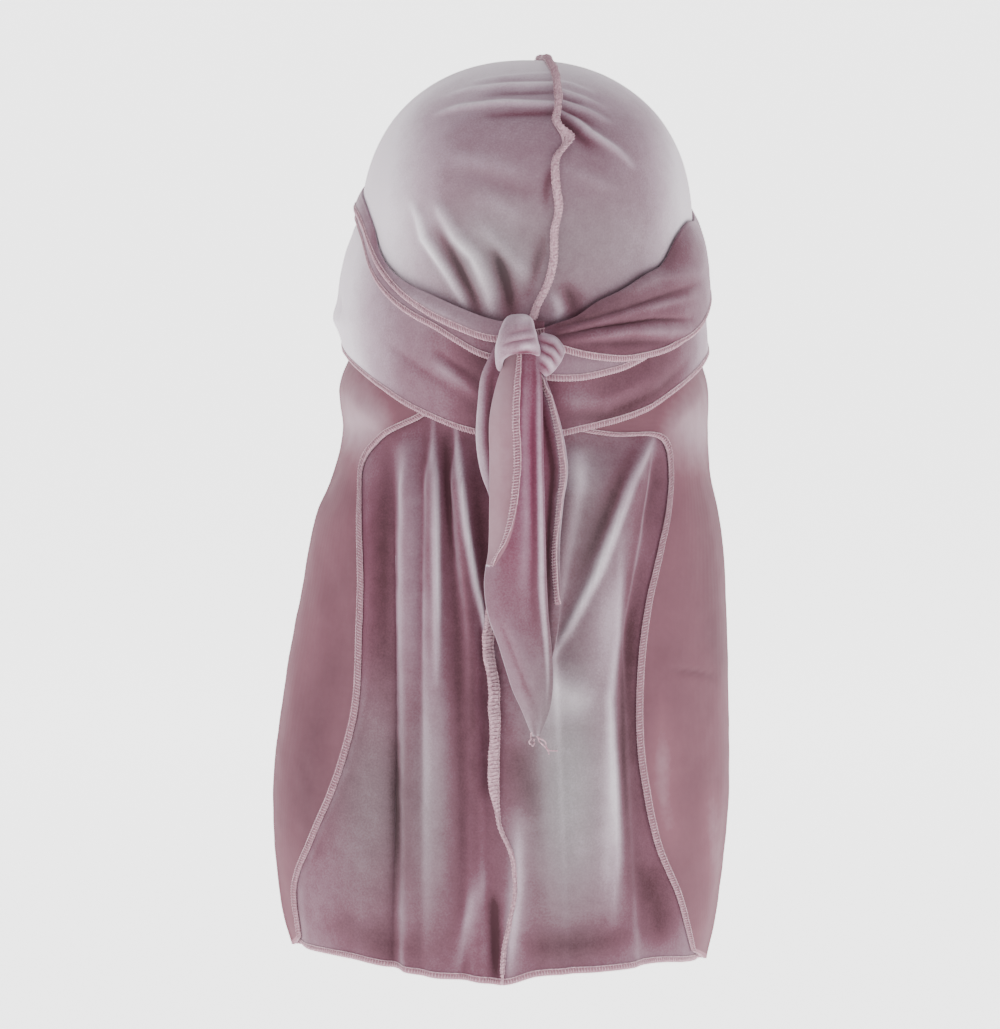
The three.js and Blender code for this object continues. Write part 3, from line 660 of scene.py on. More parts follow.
# Stations are (point, out, across, lean, size). The fin leans to one side and ruffles a little.
def laySeam(name, stations, node):
    def place(turn, i):
        point, out, across, lean, size = stations[i]
        swell = size * (1 + 0.15 * wobble(point.x, point.y, point.z, 7))
        ruffle = fin["ruffle"] * wobble(point.x + 40, point.y, point.z, 8)
        up = 0.5 - 0.5 * math.cos(turn)
        side = math.sin(turn) * fin["wall"] / 2 * (1 - 0.2 * up) * swell
        height = fin["root"] + fin["height"] * up * swell
        return point + out * height + across * (side + (lean + ruffle) * up ** 1.3)

    piece = layTube(name + "Fin", place, fin["around"], len(stations))
    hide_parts(node)
    each = fin["pitch"] / fin["step"]
    over, chain, other = [], [], []
    count = int((len(stations) - 4) / each)

    def outside(k, turn, out):
        i = min(round(k * each), len(stations) - 1)
        center = place(math.pi, i).lerp(place(0, i), 0.5)
        return place(turn, i) + (place(turn, i) - center).normalized() * out

    for k in range(count):
        over += [(outside(k + share, turn, 0.25), 1.0) for share, turn in fin["ladder"]]
        chain += [(outside(k, 4.75, 0.05), 0.9), (outside(k + 0.5, 4.75, 0.35), 1.2)]
        other += [(outside(k, 1.5, 0.05), 0.9), (outside(k + 0.5, 1.5, 0.35), 1.2)]
    layThread(name + "Stitches", [over, chain, other], fin["thread"])


# The cap's fin leans right, more at a kink down the back, falls left over the top, and is low there.
crownFin = {
    "runs": [(180, 52, 0.05), (0, 0.05, 125)], "spacing": 90,
    "lean": 1.2, "kink": 3.6, "kinkDrop": 39, "kinkReach": 3.8, "fall": 6.5,
    "dip": 0.2, "dipReach": 26, "tuft": 0.35, "tuftReach": 11, "top": 8,
}


def crownSeam():
    center = Vector((0, 0, capTop - domeHeight))
    stations = []
    for turn, fromDrop, toDrop in crownFin["runs"]:
        low, high = angleAt(fromDrop), angleAt(toDrop)
        count = int(abs(high - low) * crownFin["spacing"] / fin["step"])
        for k in range(count + 1):
            drop = dropAt(mix(low, high, k / count))
            point = capPoint(turn, drop, 0)
            out = point - center
            out.x *= 0.5
            out.z = max(out.z, 0)
            out.normalize()
            lean = crownFin["lean"]
            if turn == 0:
                lean += crownFin["kink"] * bump(drop - crownFin["kinkDrop"], crownFin["kinkReach"])
            lean -= crownFin["fall"] * smooth(point.y, -22, 30) * (1 - smooth(point.y, 36, 64))
            size = 1 - crownFin["dip"] * bump(point.y - crownFin["top"], crownFin["dipReach"])
            size += crownFin["tuft"] * bump(point.y - crownFin["top"], crownFin["tuftReach"])
            rise = max(crownFolds(point, half)[0] for half in (-1, 1))
            stations.append((point + out * rise, out, Vector((1, 0, 0)), lean, size))
    return stations


laySeam("crownSeam", crownSeam(), "crown_seam")
print("crown seam made")


# ---- straps: wrapped round the head, crossed at the forehead and knotted at the back

# Degrees are counted as 1.5 mm in the creases. The top edge turns in a little, and it hugs the head
# between the turns where the strap runs free.
wrap = {
    "drop": 177, "degree": 1.5, "uneven": 0.3, "turnedIn": 0.7, "turnedInReach": 2.2,
    "freeFrom": (225, 262), "freeTo": (300, 322), "snugLift": 1.15,
}


# A strap's sections round the head: turn, top and bottom as shares of the wrap's drop, then how far
# the top and the bottom lift and how far the middle bulges, in plies of cloth.
def layStrap(name, strap, napAndShade):
    sections, columns, rows = strap["sections"], strap["columns"], strap["rows"]
    turns = sections[-1][0] - sections[0][0]
    rowsAt = {}

    def section(u):
        if u not in rowsAt:
            rowsAt[u] = readAlong(sections, u if turns > 0 else 1 - u)
        return rowsAt[u]

    def surface(u, v):
        turn, top, bottom, liftTop, liftBottom, bulge = section(u)
        lift = mix(liftTop, liftBottom, v) + bulge * math.sin(math.pi * v)
        return headPoint(turn, mix(top, bottom, v) * wrap["drop"], lift * ply)

    def detail(u, v, point):
        turn, top, bottom = section(u)[:3]
        drop = mix(top, bottom, v) * wrap["drop"]
        rise, shine = readFolds(strap["creases"], turn * wrap["degree"], drop)
        high = (bottom - top) * wrap["drop"]
        soft = wrap["uneven"] * wobble(point.x, point.y, point.z * 1.6, 16)
        soft *= smooth(min(v, 1 - v) * high, 0, 5)
        free = smooth(abs(turn), *wrap["freeFrom"]) * (1 - smooth(abs(turn), *wrap["freeTo"]))
        loose = (section(u)[3] - wrap["snugLift"]) * ply * free
        inward = -wrap["turnedIn"] * bump(v * high, wrap["turnedInReach"])
        inward -= loose * bump(v * high, strap["hug"])
        return rise + soft + inward, napAndShade(turn, v, drop) + shine, (1 - v) * high

    piece = layCloth(name, surface, detail, columns, rows, (strap["cutWidth"] * 8, strap["cutWidth"]))
    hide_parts(strap["node"])
    return piece, [sergeEdges(name + "Stitches", [edgeLine(name, columns, rows, "bottom")])]


strapRight = {
    "node": "strap_right", "columns": 430, "rows": 36, "cutWidth": 46, "hug": 6,
    "flat": (0.62, 0.06), "area": 0.0248,
    "sections": [
        (6, 0.72, 1, 1.3, 2.7, 0.4), (-8, 0.72, 1.003, 1.3, 2.8, 0.4), (-22, 0.7, 0.985, 1.3, 3.2, 0.4),
        (-34, 0.665, 0.955, 1.2, 3.6, 0.5), (-45, 0.635, 0.92, 1.2, 4.5, 0.7),
        (-57, 0.59, 0.875, 1.2, 5.2, 0.9),
        (-68, 0.5, 0.838, 1.3, 5.8, 1.4), (-79, 0.44, 0.805, 1.3, 6.6, 2.2),
        (-90, 0.43, 0.775, 1.3, 6.8, 2.4),
        (-104, 0.42, 0.7, 1.3, 4.6, 1.6), (-120, 0.41, 0.645, 1.2, 2.8, 0.5),
        (-138, 0.41, 0.605, 1.2, 1.7, 0.1),
        (-154, 0.4, 0.575, 1.2, 1.2, 0.1), (-168, 0.375, 0.545, 1.2, 1.2, 0.1),
        (-182, 0.34, 0.505, 1.2, 1.2, 0.1),
        (-196, 0.3, 0.465, 1.2, 1.2, 0), (-212, 0.285, 0.452, 1.8, 2.3, 0.1),
        (-228, 0.295, 0.48, 2.1, 2.9, 0),
        (-244, 0.32, 0.53, 2.1, 3.6, 0), (-258, 0.375, 0.59, 2.2, 4.7, 0.2),
        (-270, 0.42, 0.635, 2.1, 5.5, 0.5),
        (-281, 0.43, 0.675, 2.1, 5.9, 0.7), (-291, 0.435, 0.72, 2, 6, 0.9),
        (-300, 0.475, 0.75, 1.8, 5.7, 1),
        (-309, 0.545, 0.775, 1.7, 5.4, 1), (-318, 0.575, 0.79, 1.7, 5.2, 1),
        (-328, 0.615, 0.8, 1.8, 5.1, 0.9),
        (-337, 0.645, 0.795, 2, 5.1, 0.7), (-344, 0.68, 0.785, 2.5, 5, 0.5),
        (-351, 0.7, 0.77, 3.2, 4.9, 0.2),
        (-358, 0.72, 0.765, 3.4, 4.6, 0),
    ],
    # points as (turn, drop) with the turn at 1.5 mm a degree
    # shine paints highlights on the ridges and shade in the valleys
    "creases": [
        (2.8, 0.06, 6.0, (-146, 120), (-130, 123), (-112, 124)),
        (-0.9, -0.14, 1.6, (-121, 111), (-118, 119), (-120, 130)),
        (-0.9, -0.1, 2.2, (-48, 137), (-36, 144), (-24, 151)),
        (1.1, 0.15, 2.6, (-50, 141), (-36, 149), (-24, 157)),
        (-0.6, -0.06, 3.0, (-84, 130), (-66, 140), (-44, 152), (-24, 164)),
        (-1.4, -0.2, 1.8, (-440, 106), (-470, 112), (-492, 118), (-512, 123), (-534, 128)),
        (1.3, 0.2, 1.6, (-446, 112), (-480, 116.5), (-495, 120), (-514, 125), (-534, 130)),
        (-1.7, -0.26, 1.3, (-448, 123), (-476, 122.5), (-508, 126), (-534, 131)),
        (1.2, 0.16, 2.0, (-446, 128), (-490, 127.5), (-530, 133)),
        (0.8, 0.12, 3.0, (-430, 100), (-470, 103), (-504, 114)),
        (-0.8, -0.12, 2.2, (-440, 134), (-480, 133), (-515, 133)),
    ],
}
strapLeft = {
    "node": "strap_left", "columns": 430, "rows": 26, "cutWidth": 40, "hug": 14,
    "flat": (0.62, 0.05), "area": 0.0175,
    "sections": [
        (-7, 0.745, 0.99, 2.8, 3.5, 0.4), (8, 0.745, 0.996, 2.4, 3.5, 0.4),
        (20, 0.745, 0.98, 1.6, 3.5, 0.5),
        (32, 0.735, 0.962, 1.3, 3.6, 0.6), (44, 0.7, 0.935, 1.2, 4.5, 1), (55, 0.65, 0.895, 1.2, 5, 1.1),
        (67, 0.57, 0.853, 1.2, 5.7, 0.9), (79, 0.5, 0.817, 1.2, 6.3, 0.4), (90, 0.46, 0.785, 1.2, 6.4, 0.1),
        (104, 0.43, 0.715, 1.2, 4, 0.2), (120, 0.4, 0.65, 1.2, 2.2, 0.2), (138, 0.45, 0.6, 1.2, 1.4, 0.1),
        (152, 0.475, 0.59, 1.9, 2, 0), (166, 0.425, 0.56, 2.7, 2.7, 0), (180, 0.34, 0.51, 2.3, 2.4, 0),
        (196, 0.305, 0.47, 2.3, 2.4, 0), (212, 0.29, 0.44, 2.3, 2.5, 0), (230, 0.29, 0.41, 2.2, 2.7, 0),
        (248, 0.31, 0.395, 1.8, 2.6, 0), (264, 0.335, 0.395, 1.7, 2.6, 0), (276, 0.355, 0.405, 1.7, 2.7, 0),
        (285, 0.38, 0.425, 1.8, 2.8, 0), (291, 0.41, 0.455, 2, 2.9, 0), (296, 0.45, 0.497, 2.2, 3.2, 0),
        (301, 0.51, 0.54, 2.6, 3.7, 0), (309, 0.563, 0.592, 2.6, 3.8, 0), (318, 0.6, 0.64, 2.5, 3.9, 0),
        (328, 0.63, 0.685, 2.5, 4, 0), (338, 0.662, 0.72, 2.5, 4, 0), (346, 0.685, 0.743, 2.8, 4.1, 0),
        (352, 0.695, 0.748, 3.2, 4.2, 0), (358, 0.69, 0.738, 3.2, 3.9, 0), (365, 0.695, 0.728, 3.2, 3.6, 0),
    ],
    # shine paints highlights on the ridges and shade in the valleys
    "creases": [
        (0.8, 0.1, 3.0, (12, 158), (40, 160), (66, 150)),
        (-0.8, -0.14, 3.0, (10, 166), (40, 167), (70, 157), (100, 140)),
        (0.6, 0.1, 2.0, (470, 108), (495, 118), (520, 128)),
    ],
}
strapLeftPly = {
    "node": "strap_left_ply", "columns": 110, "rows": 10, "cutWidth": 12, "hug": 6,
    "flat": (0.13, 0.014), "area": 0.0015,
    "sections": [
        (-4, 0.75, 0.812, 2.6, 3.1, 0), (-10, 0.74, 0.8, 2.4, 2.9, 0), (-17, 0.722, 0.782, 2.3, 2.9, 0),
        (-24, 0.7, 0.752, 2.2, 2.8, 0),
        (-32, 0.672, 0.716, 2.2, 2.8, 0), (-40, 0.645, 0.688, 2.2, 2.8, 0),
        (-48, 0.612, 0.655, 2.2, 2.8, 0),
        (-56, 0.565, 0.612, 2.2, 2.8, 0), (-62, 0.505, 0.565, 2.1, 2.8, 0), (-67, 0.455, 0.52, 1.7, 2.3, 0),
        (-72, 0.42, 0.48, 1.5, 2, 0), (-80, 0.385, 0.445, 1.3, 1.8, 0), (-92, 0.365, 0.425, 1.3, 1.8, 0),
    ],
    "creases": [],
}
strapRightPly = {
    "node": "strap_right_ply", "columns": 60, "rows": 16, "cutWidth": 17, "hug": 6,
    "flat": (0.055, 0.021), "area": 0.0011,
    "sections": [
        (-1, 0.76, 0.836, 3.5, 4.2, 0), (6, 0.75, 0.846, 3.4, 4.2, 0), (12, 0.74, 0.849, 3.1, 4.2, 0),
        (18, 0.725, 0.847, 2.7, 4.1, 0),
        (25, 0.72, 0.837, 2.5, 4, 0), (33, 0.715, 0.822, 2.5, 4, 0), (42, 0.705, 0.795, 2.5, 3.9, 0),
    ],
    "creases": [],
}


# How silvery each strap is painted: beside the knot, at the side of the head as a painted sheen where the
# strap turns away, and where it comes round again.
def napAndShadeRight(turn, v, drop):
    # Painted sheen where the strap turns away at the side of the head.
    silverSide = 0.58 * smooth(-turn, 42, 84) * smooth(turn, -150, -104)
    byKnot = 0.22 * smooth(turn, -32, -12)
    upper = 0.14 * smooth(-drop, -96, -66)
    atEnd = 0.2 * smooth(-turn, 350, 355)
    return mix(0.28 + silverSide - byKnot, 0.12 + upper + atEnd, smooth(-turn, 190, 240))


def napAndShadeLeft(turn, v, drop):
    byKnot = 0.18 * bump(turn - 16, 9)
    # Painted sheen where the strap turns away at the side of the head.
    silverSide = 0.36 * smooth(turn, 52, 86)
    shaded = 0.14 * bump(turn - 280, 16)
    atEnd = 0.2 * smooth(turn, 352, 359)
    return mix(0.06 + byKnot + silverSide, 0.36 - shaded - atEnd, smooth(turn, 100, 150))


for name, strap, napAndShade in (
    ("strapRight", strapRight, napAndShadeRight),
    ("strapLeft", strapLeft, napAndShadeLeft),
    ("strapLeftPly", strapLeftPly, lambda turn, v, drop: 0.3),
    ("strapRightPly", strapRightPly, lambda turn, v, drop: 0.32 + 0.1 * v),
):
    piece, stitches = layStrap(name, strap, napAndShade)
    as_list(stitches)
print("straps made")


# ---- cape: pleated, hung from under the straps, its side margins folded back

cape = {
    "drop": 430, "halfWidth": 110, "depth": 94, "sideDepth": 32, "pleatHeight": 6, "foldRadius": 2.2,
    "foldTurn": 84, "topDrop": 0.35, "panelColumns": 140, "foldColumns": 8, "marginColumns": 48, "rows": 200,
    "pleatedShare": 0.64,  # of the panel's columns
    "clearFrom": -0.02, "clearTo": 0.05,  # the pleats flatten this near the margin, as shares of halfWidth
    # levels of the pile on each half, a painted highlight on each pleat's ridge by its rise, the margin's
    # level, and how far it sinks
    "napAndShade": {-1: 0.19, 1: 0.26}, "ridgeHighlight": 0.08, "marginNap": 0.3, "reverseSink": 0.4,
    # shares: drop, left and right half width, depth at the back and at the side
    "sections": [
        (0.3, 0.74, 0.715, 0.97, 0.05), (0.335, 0.785, 0.745, 0.97, 0.1), (0.38, 0.775, 0.75, 0.965, 0.25),
        (0.41, 0.76, 0.745, 0.965, 0.35), (0.455, 0.8, 0.755, 0.975, 0.55), (0.51, 0.88, 0.795, 0.99, 0.75),
        (0.59, 0.94, 0.82, 1, 0.9), (0.68, 1.005, 0.835, 1.01, 1), (0.77, 1.055, 0.835, 1.02, 1.05),
        (0.83, 1.06, 0.83, 1.03, 1.08), (0.89, 1.045, 0.81, 1.04, 1.1), (0.95, 1.015, 0.78, 1.05, 1.12),
        (1, 0.96, 0.735, 1.06, 1.15),
    ],
    # fold lines from the seam outward: across at the top, middle and hem, rise at the top and hem
    "folds": {
        -1: [
            (0.16, 0.195, 0.15, 0.1, -0.1), (0.3, 0.235, 0.2, 1, 0.4), (0.345, 0.3, 0.27, 0, 0),
            (0.39, 0.385, 0.36, 1, 0.9), (0.435, 0.435, 0.43, 0.15, 0.7), (0.49, 0.49, 0.49, 0.9, 0.85),
            (0.55, 0.55, 0.56, 0, 0), (0.63, 0.63, 0.67, 0.15, 0.6),
        ],
        1: [
            (0.05, -0.05, 0.0, 0.3, 0.2), (0.12, 0.02, 0.08, 0.1, 0.3), (0.21, 0.08, 0.14, 0.8, 0.6),
            (0.3, 0.13, 0.19, 0.15, 0.45), (0.47, 0.24, 0.28, 1, 0.8), (0.52, 0.37, 0.41, 0.6, 0.8),
            (0.56, 0.44, 0.5, 0, 0), (0.65, 0.62, 0.66, 0, 0.1),
        ],
    },
    # the folded-back margin: its edge across, its edge's drop and the side fold's drop
    "margins": {
        -1: [
            (0.42, 0.372, 0.3), (0.49, 0.392, 0.325), (0.62, 0.418, 0.36), (0.695, 0.448, 0.4),
            (0.7, 0.5, 0.455),
            (0.69, 0.56, 0.52), (0.695, 0.62, 0.59), (0.71, 0.7, 0.67), (0.76, 0.757, 0.735),
            (0.82, 0.803, 0.785), (0.91, 0.857, 0.84), (0.985, 0.91, 0.905), (0.97, 0.968, 0.972),
        ],
        1: [
            (0.12, 0.398, 0.3), (0.37, 0.41, 0.325), (0.54, 0.413, 0.35), (0.59, 0.44, 0.385),
            (0.585, 0.485, 0.435), (0.545, 0.535, 0.5), (0.49, 0.595, 0.57), (0.46, 0.66, 0.64),
            (0.455, 0.73, 0.715), (0.48, 0.79, 0.775), (0.535, 0.855, 0.84), (0.63, 0.915, 0.915),
            (0.7, 0.98, 0.99),
        ],
    },
    "seamPath": [
        (0.34, 0), (0.41, -0.02), (0.53, -0.1), (0.63, -0.155), (0.68, -0.13), (0.82, -0.125),
        (0.86, -0.07),
        (0.9, -0.055), (0.96, -0.1), (1, -0.11),
    ],
    "hemPath": [
        (-1, 0.98), (-0.84, 0.978), (-0.7, 0.98), (-0.5, 0.988), (-0.2, 0.997), (-0.1, 1), (0.04, 0.99),
        (0.36, 0.985), (0.5, 0.984), (0.6, 0.986), (0.75, 0.996),
    ],
    # narrow ridges with painted highlights, valleys with painted shade, and patches over the pleats, in (x,
    # drop)
    # the patches are partly brushed pile and partly painted light on the pleats' sides
    "creases": [
        (0.8, 0.17, 6.0, (-54, 172), (-54, 215), (-55, 262), (-54, 300)),
        (-0.5, -0.26, 5.0, (-66, 178), (-67, 230), (-66, 300)),
        (1.8, 0.6, 1.4, (-43.5, 168), (-43, 215), (-42.6, 250), (-42.8, 290)),
        (1.2, 0.18, 5.5, (-43, 270), (-44, 320), (-45, 398)),
        (-0.9, -0.32, 3.0, (-38.5, 176), (-37, 200), (-35, 230)),
        (-1.0, -0.21, 5.0, (-35, 225), (-31, 260), (-28, 310), (-27, 385)),
        (1.7, 0.75, 1.3, (-33.1, 168), (-31.4, 193), (-28.6, 218), (-24.2, 246), (-18.6, 269),
         (-15.3, 278)),
        (-0.6, -0.2, 4.0, (-26, 180), (-23, 215), (-19, 245)),
        (-0.8, -0.3, 3.6, (-61, 310), (-60, 350), (-59, 392)),
        (0.3, 0.02, 9.0, (-78, 345), (-76, 392)),
        (1.0, 0.3, 3.0, (-21, 375), (-27, 400), (-34, 424)),
        (-1.8, -0.45, 2.6, (-16, 388), (-15, 405), (-14.5, 428)),
        (0.2, -0.15, 9.0, (-100, 404), (-70, 412), (-36, 416)),
        (0.3, 0.36, 8.0, (24, 180), (22, 204)),
        (2.3, 0.62, 1.9, (60, 174), (47.2, 199), (39.4, 220), (31.6, 240), (20.4, 262), (11, 277)),
        (-1.0, -0.3, 4.0, (50, 181), (41, 200), (33, 220), (24, 240)),
        (0.5, 0.25, 6.0, (41, 240), (37, 262), (34, 290)),
        (-0.9, -0.25, 6.0, (60, 186), (54, 205), (50, 225)),
        (-0.4, -0.2, 1.6, (-47.4, 176), (-46.8, 215), (-46.4, 250)),
        (0.9, 0.35, 1.8, (43, 222), (40.5, 268), (37, 298), (39, 330), (41, 370), (39, 402)),
        (-1.7, -0.36, 4.4, (50, 216), (47, 250), (44.5, 285), (44.5, 330), (47.5, 370), (50, 404)),
        (-0.5, -0.3, 8.0, (52, 372), (60, 396), (64, 416)),
        (0.4, 0.18, 13.0, (6, 280), (18, 330), (22, 392)), (0.2, 0.38, 9.0, (2, 282), (18, 296), (30, 300)),
        (0.6, 0.32, 4.0, (37, 300), (38, 345), (36, 392)),
        (0.0, -0.2, 7.0, (-6, 316), (-3, 330), (3, 352)),
        (0.3, 0.5, 3.4, (-4, 350), (-5, 380), (-7, 405), (-9, 428)),
        (0.1, -0.24, 8.0, (-2, 412), (22, 411), (58, 408)),
    ],
    # on the margins, in (x, drop): paler at their tops as painted light where they face up, and bands of
    # painted shade
    "marginCreases": [
        (0.4, 0.85, 17.0, (-60, 168), (-92, 176)), (0.4, 0.85, 17.0, (60, 168), (92, 180)),
        (0.0, -0.2, 12.0, (-82, 215), (-90, 270), (-98, 320)),
        (0.0, -0.25, 7.0, (84, 205), (88, 250), (90, 300)),
        (0.3, 0.5, 6.0, (62, 290), (62, 340), (66, 370)),
        (-0.6, -0.3, 1.3, (66, 286), (78, 288), (90, 292)),
        (0.0, -0.4, 13.0, (-104, 300), (-104, 345), (-101, 390)), (0.3, 0.35, 6.0, (84, 340), (88, 390)),
    ],
}
capeMarginStart = cape["panelColumns"] + cape["foldColumns"]
capeColumns = capeMarginStart + cape["marginColumns"]


def capeHalf(drop, side):
    return readTable(cape["sections"], drop / cape["drop"])[1 if side < 0 else 2] * cape["halfWidth"]


def curtainPoint(turn, drop, lift=0.0):
    section = readTable(cape["sections"], drop / cape["drop"])
    angle = math.radians(turn)
    half = section[1 if turn < 0 else 2] * cape["halfWidth"]
    sideDepth, backDepth = section[4] * cape["sideDepth"], section[3] * cape["depth"]
    x = (half + lift) * math.sin(angle)
    y = -(sideDepth + (backDepth - sideDepth + lift) * math.cos(angle))
    hung = Vector((x, y, capTop - drop))
    center = math.cos(angle) ** 2
    blend = smooth(drop, mix(0.295, 0.405, center) * cape["drop"], mix(0.37, 0.48, center) * cape["drop"])
    if blend >= 1:
        return hung
    return headPoint(turn, drop, ply + lift).lerp(hung, blend)


def capeTurn(across, drop):
    return math.degrees(math.asin(clamp(across * cape["halfWidth"] / capeHalf(drop, across), -1, 1)))


def seamTurn(drop):
    return capeTurn(readTable(cape["seamPath"], drop / cape["drop"])[1], drop)


# Turn and rise at a share 0..1 of the way from the seam to the side fold.
def foldAt(share, drop, side):
    place = drop / cape["drop"]
    upper, lower = clamp((place - 0.41) / 0.21), clamp((place - 0.62) / 0.38)
    toHem, fade = clamp((place - 0.41) / 0.5), smooth(place, 0.41, 0.47)
    halves = (capeHalf(drop, -1), capeHalf(drop, 1))
    rows = [(seamTurn(drop), 0.0)]
    for top, middle, hem, riseTop, riseHem in cape["folds"][side]:
        across = side * mix(mix(top, middle, upper), hem, lower) * cape["halfWidth"]
        turn = math.degrees(math.asin(clamp(across / halves[0 if across < 0 else 1], -1, 1)))
        rows.append((turn, mix(riseTop, riseHem, toHem) * fade))
    rows.append((side * cape["foldTurn"], 0.0))
    return readAlong(rows, share)


def trimToHem(even, turn, place, end):
    across = math.sin(math.radians(turn)) * capeHalf(even, turn) / cape["halfWidth"]
    return even + (readTable(cape["hemPath"], across)[1] * cape["drop"] - end) * smooth(place, 0.6, 1)


def marginEdgeAt(side, drop):
    rows = [(edgeDrop, across) for across, edgeDrop, _ in cape["margins"][side]]
    return readTable(rows, drop / cape["drop"])[1] * cape["halfWidth"]


def capePanel(side, node):
    margin = cape["margins"][side]
    lines = len(cape["folds"][side])
    rises, widths = {}, {}

    def panel(share, place):
        guide = readAlong(margin, place)
        turnShare = math.sin(math.radians(cape["foldTurn"] * share)) ** 2
        plainDrop = mix(cape["topDrop"] * cape["drop"], cape["drop"], place)
        even = mix(plainDrop, guide[2] * cape["drop"], turnShare)
        end = mix(1, margin[-1][2], turnShare) * cape["drop"]
        drop = trimToHem(even, foldAt(share, even, side)[0], place, end)
        turn, rise = foldAt(share, drop, side)
        plain = curtainPoint(turn, drop)
        toMargin = marginEdgeAt(side, drop) - abs(plain.x)
        clear = smooth(toMargin, cape["clearFrom"] * cape["halfWidth"], cape["clearTo"] * cape["halfWidth"])
        point = curtainPoint(turn, drop, rise * cape["pleatHeight"] * clear)
        point.x += side * crown["seamGap"] * (1 - share)
        return point, rise * clear

    def surface(u, v):
        column = u * capeColumns
        if column <= cape["panelColumns"] + 0.5:
            at, pleated, last = column / cape["panelColumns"], cape["pleatedShare"], lines / (lines + 1)
            if at < pleated:
                share = at / pleated * lines / (lines + 1)
            else:
                share = mix(last, 1, (at - pleated) / (1 - pleated))
            point, rises[(u, v)] = panel(share, v)
            return point
        guide = readAlong(margin, v)
        fold = panel(1, v)[0]
        drop = capTop - fold.z
        if column <= capeMarginStart + 0.5:
            around = math.pi * (column - cape["panelColumns"]) / cape["foldColumns"]
            fold.x += side * cape["foldRadius"] * (1 - math.cos(around))
            fold.y += cape["foldRadius"] * math.sin(around)
            return fold
        share = (column - capeMarginStart) / cape["marginColumns"]
        edgeDrop = guide[1] * cape["drop"]
        turn = mix(side * cape["foldTurn"], capeTurn(guide[0] * side, edgeDrop), share)
        lift = mix(2 * cape["foldRadius"], ply - cape["reverseSink"], math.sqrt(share))
        if v not in widths:
            widths[v] = (curtainPoint(capeTurn(guide[0] * side, edgeDrop), edgeDrop, ply) - fold).length
        return curtainPoint(turn, mix(drop, edgeDrop, share), lift)

    def detail(u, v, point):
        drop = capTop - point.z
        column = u * capeColumns
        hem = (1 - v) * 0.65 * cape["drop"]
        soft = 0.8 * wobble(point.x * 2.2, point.y, point.z * 0.45, 30) * smooth(drop, 180, 230)
        soft += 0.25 * wobble(point.x, point.y, point.z, 9)
        if column <= cape["panelColumns"] + 0.5:
            rise, shine = readFolds(cape["creases"], point.x, drop)
            toMargin = marginEdgeAt(side, drop) - abs(point.x)
            # Painted shade on the panel just beside the margin's edge, and a painted highlight on each
            # pleat's ridge.
            shine -= 0.08 * bump(toMargin, 7)
            napAndShade = cape["napAndShade"][side] + cape["ridgeHighlight"] * rises[(u, v)] + shine
            return soft + rise * clamp(toMargin / 4), napAndShade, hem
        edge = (1 - u) * capeColumns / cape["marginColumns"] * widths.get(v, 60)
        rise, shine = readFolds(cape["marginCreases"], point.x, drop)
        return -soft - rise, cape["marginNap"] + shine, min(hem, edge)

    name = node.replace("_l", "L").replace("_r", "R")
    piece = layCloth(name, surface, detail, capeColumns, cape["rows"], (150, 280))
    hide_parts(node)
    edges = [
        edgeLine(name, capeColumns, cape["rows"], "right", start=0.02, outside=-1),
        edgeLine(name, capeColumns, cape["rows"], "bottom"),
    ]
    return piece, [sergeEdges(name + "Stitches", edges)]


for side, node in ((-1, "cape_left"), (1, "cape_right")):
    piece, stitches = capePanel(side, node)
    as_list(stitches)
print("cape made")


# The cape's fin lies over to the left and is large above, and stands up small near the hem.
capeFin = {
    "length": 245, "from": 0.12, "to": 0.998, "change": (336, 354), "lean": (-2.6, 0.4), "size": (1.5, 0.45),
}


def capeSeam():
    stations = []
    count = int(capeFin["length"] / fin["step"])
    for k in range(count + 1):
        place = mix(capeFin["from"], capeFin["to"], k / count)
        even = mix(cape["topDrop"], 1, place) * cape["drop"]
        drop = trimToHem(even, seamTurn(even), place, cape["drop"])
        angle = math.radians(seamTurn(drop))
        out = Vector((math.sin(angle), -math.cos(angle), 0))
        across = Vector((-out.y, out.x, 0))
        low = smooth(drop, *capeFin["change"])
        lean, size = mix(*capeFin["lean"], low), mix(*capeFin["size"], low)
        stations.append((curtainPoint(math.degrees(angle), drop), out, across, lean, size))
    return stations


laySeam("capeSeam", capeSeam(), "cape_seam")
print("cape seam made")


# ---- knot

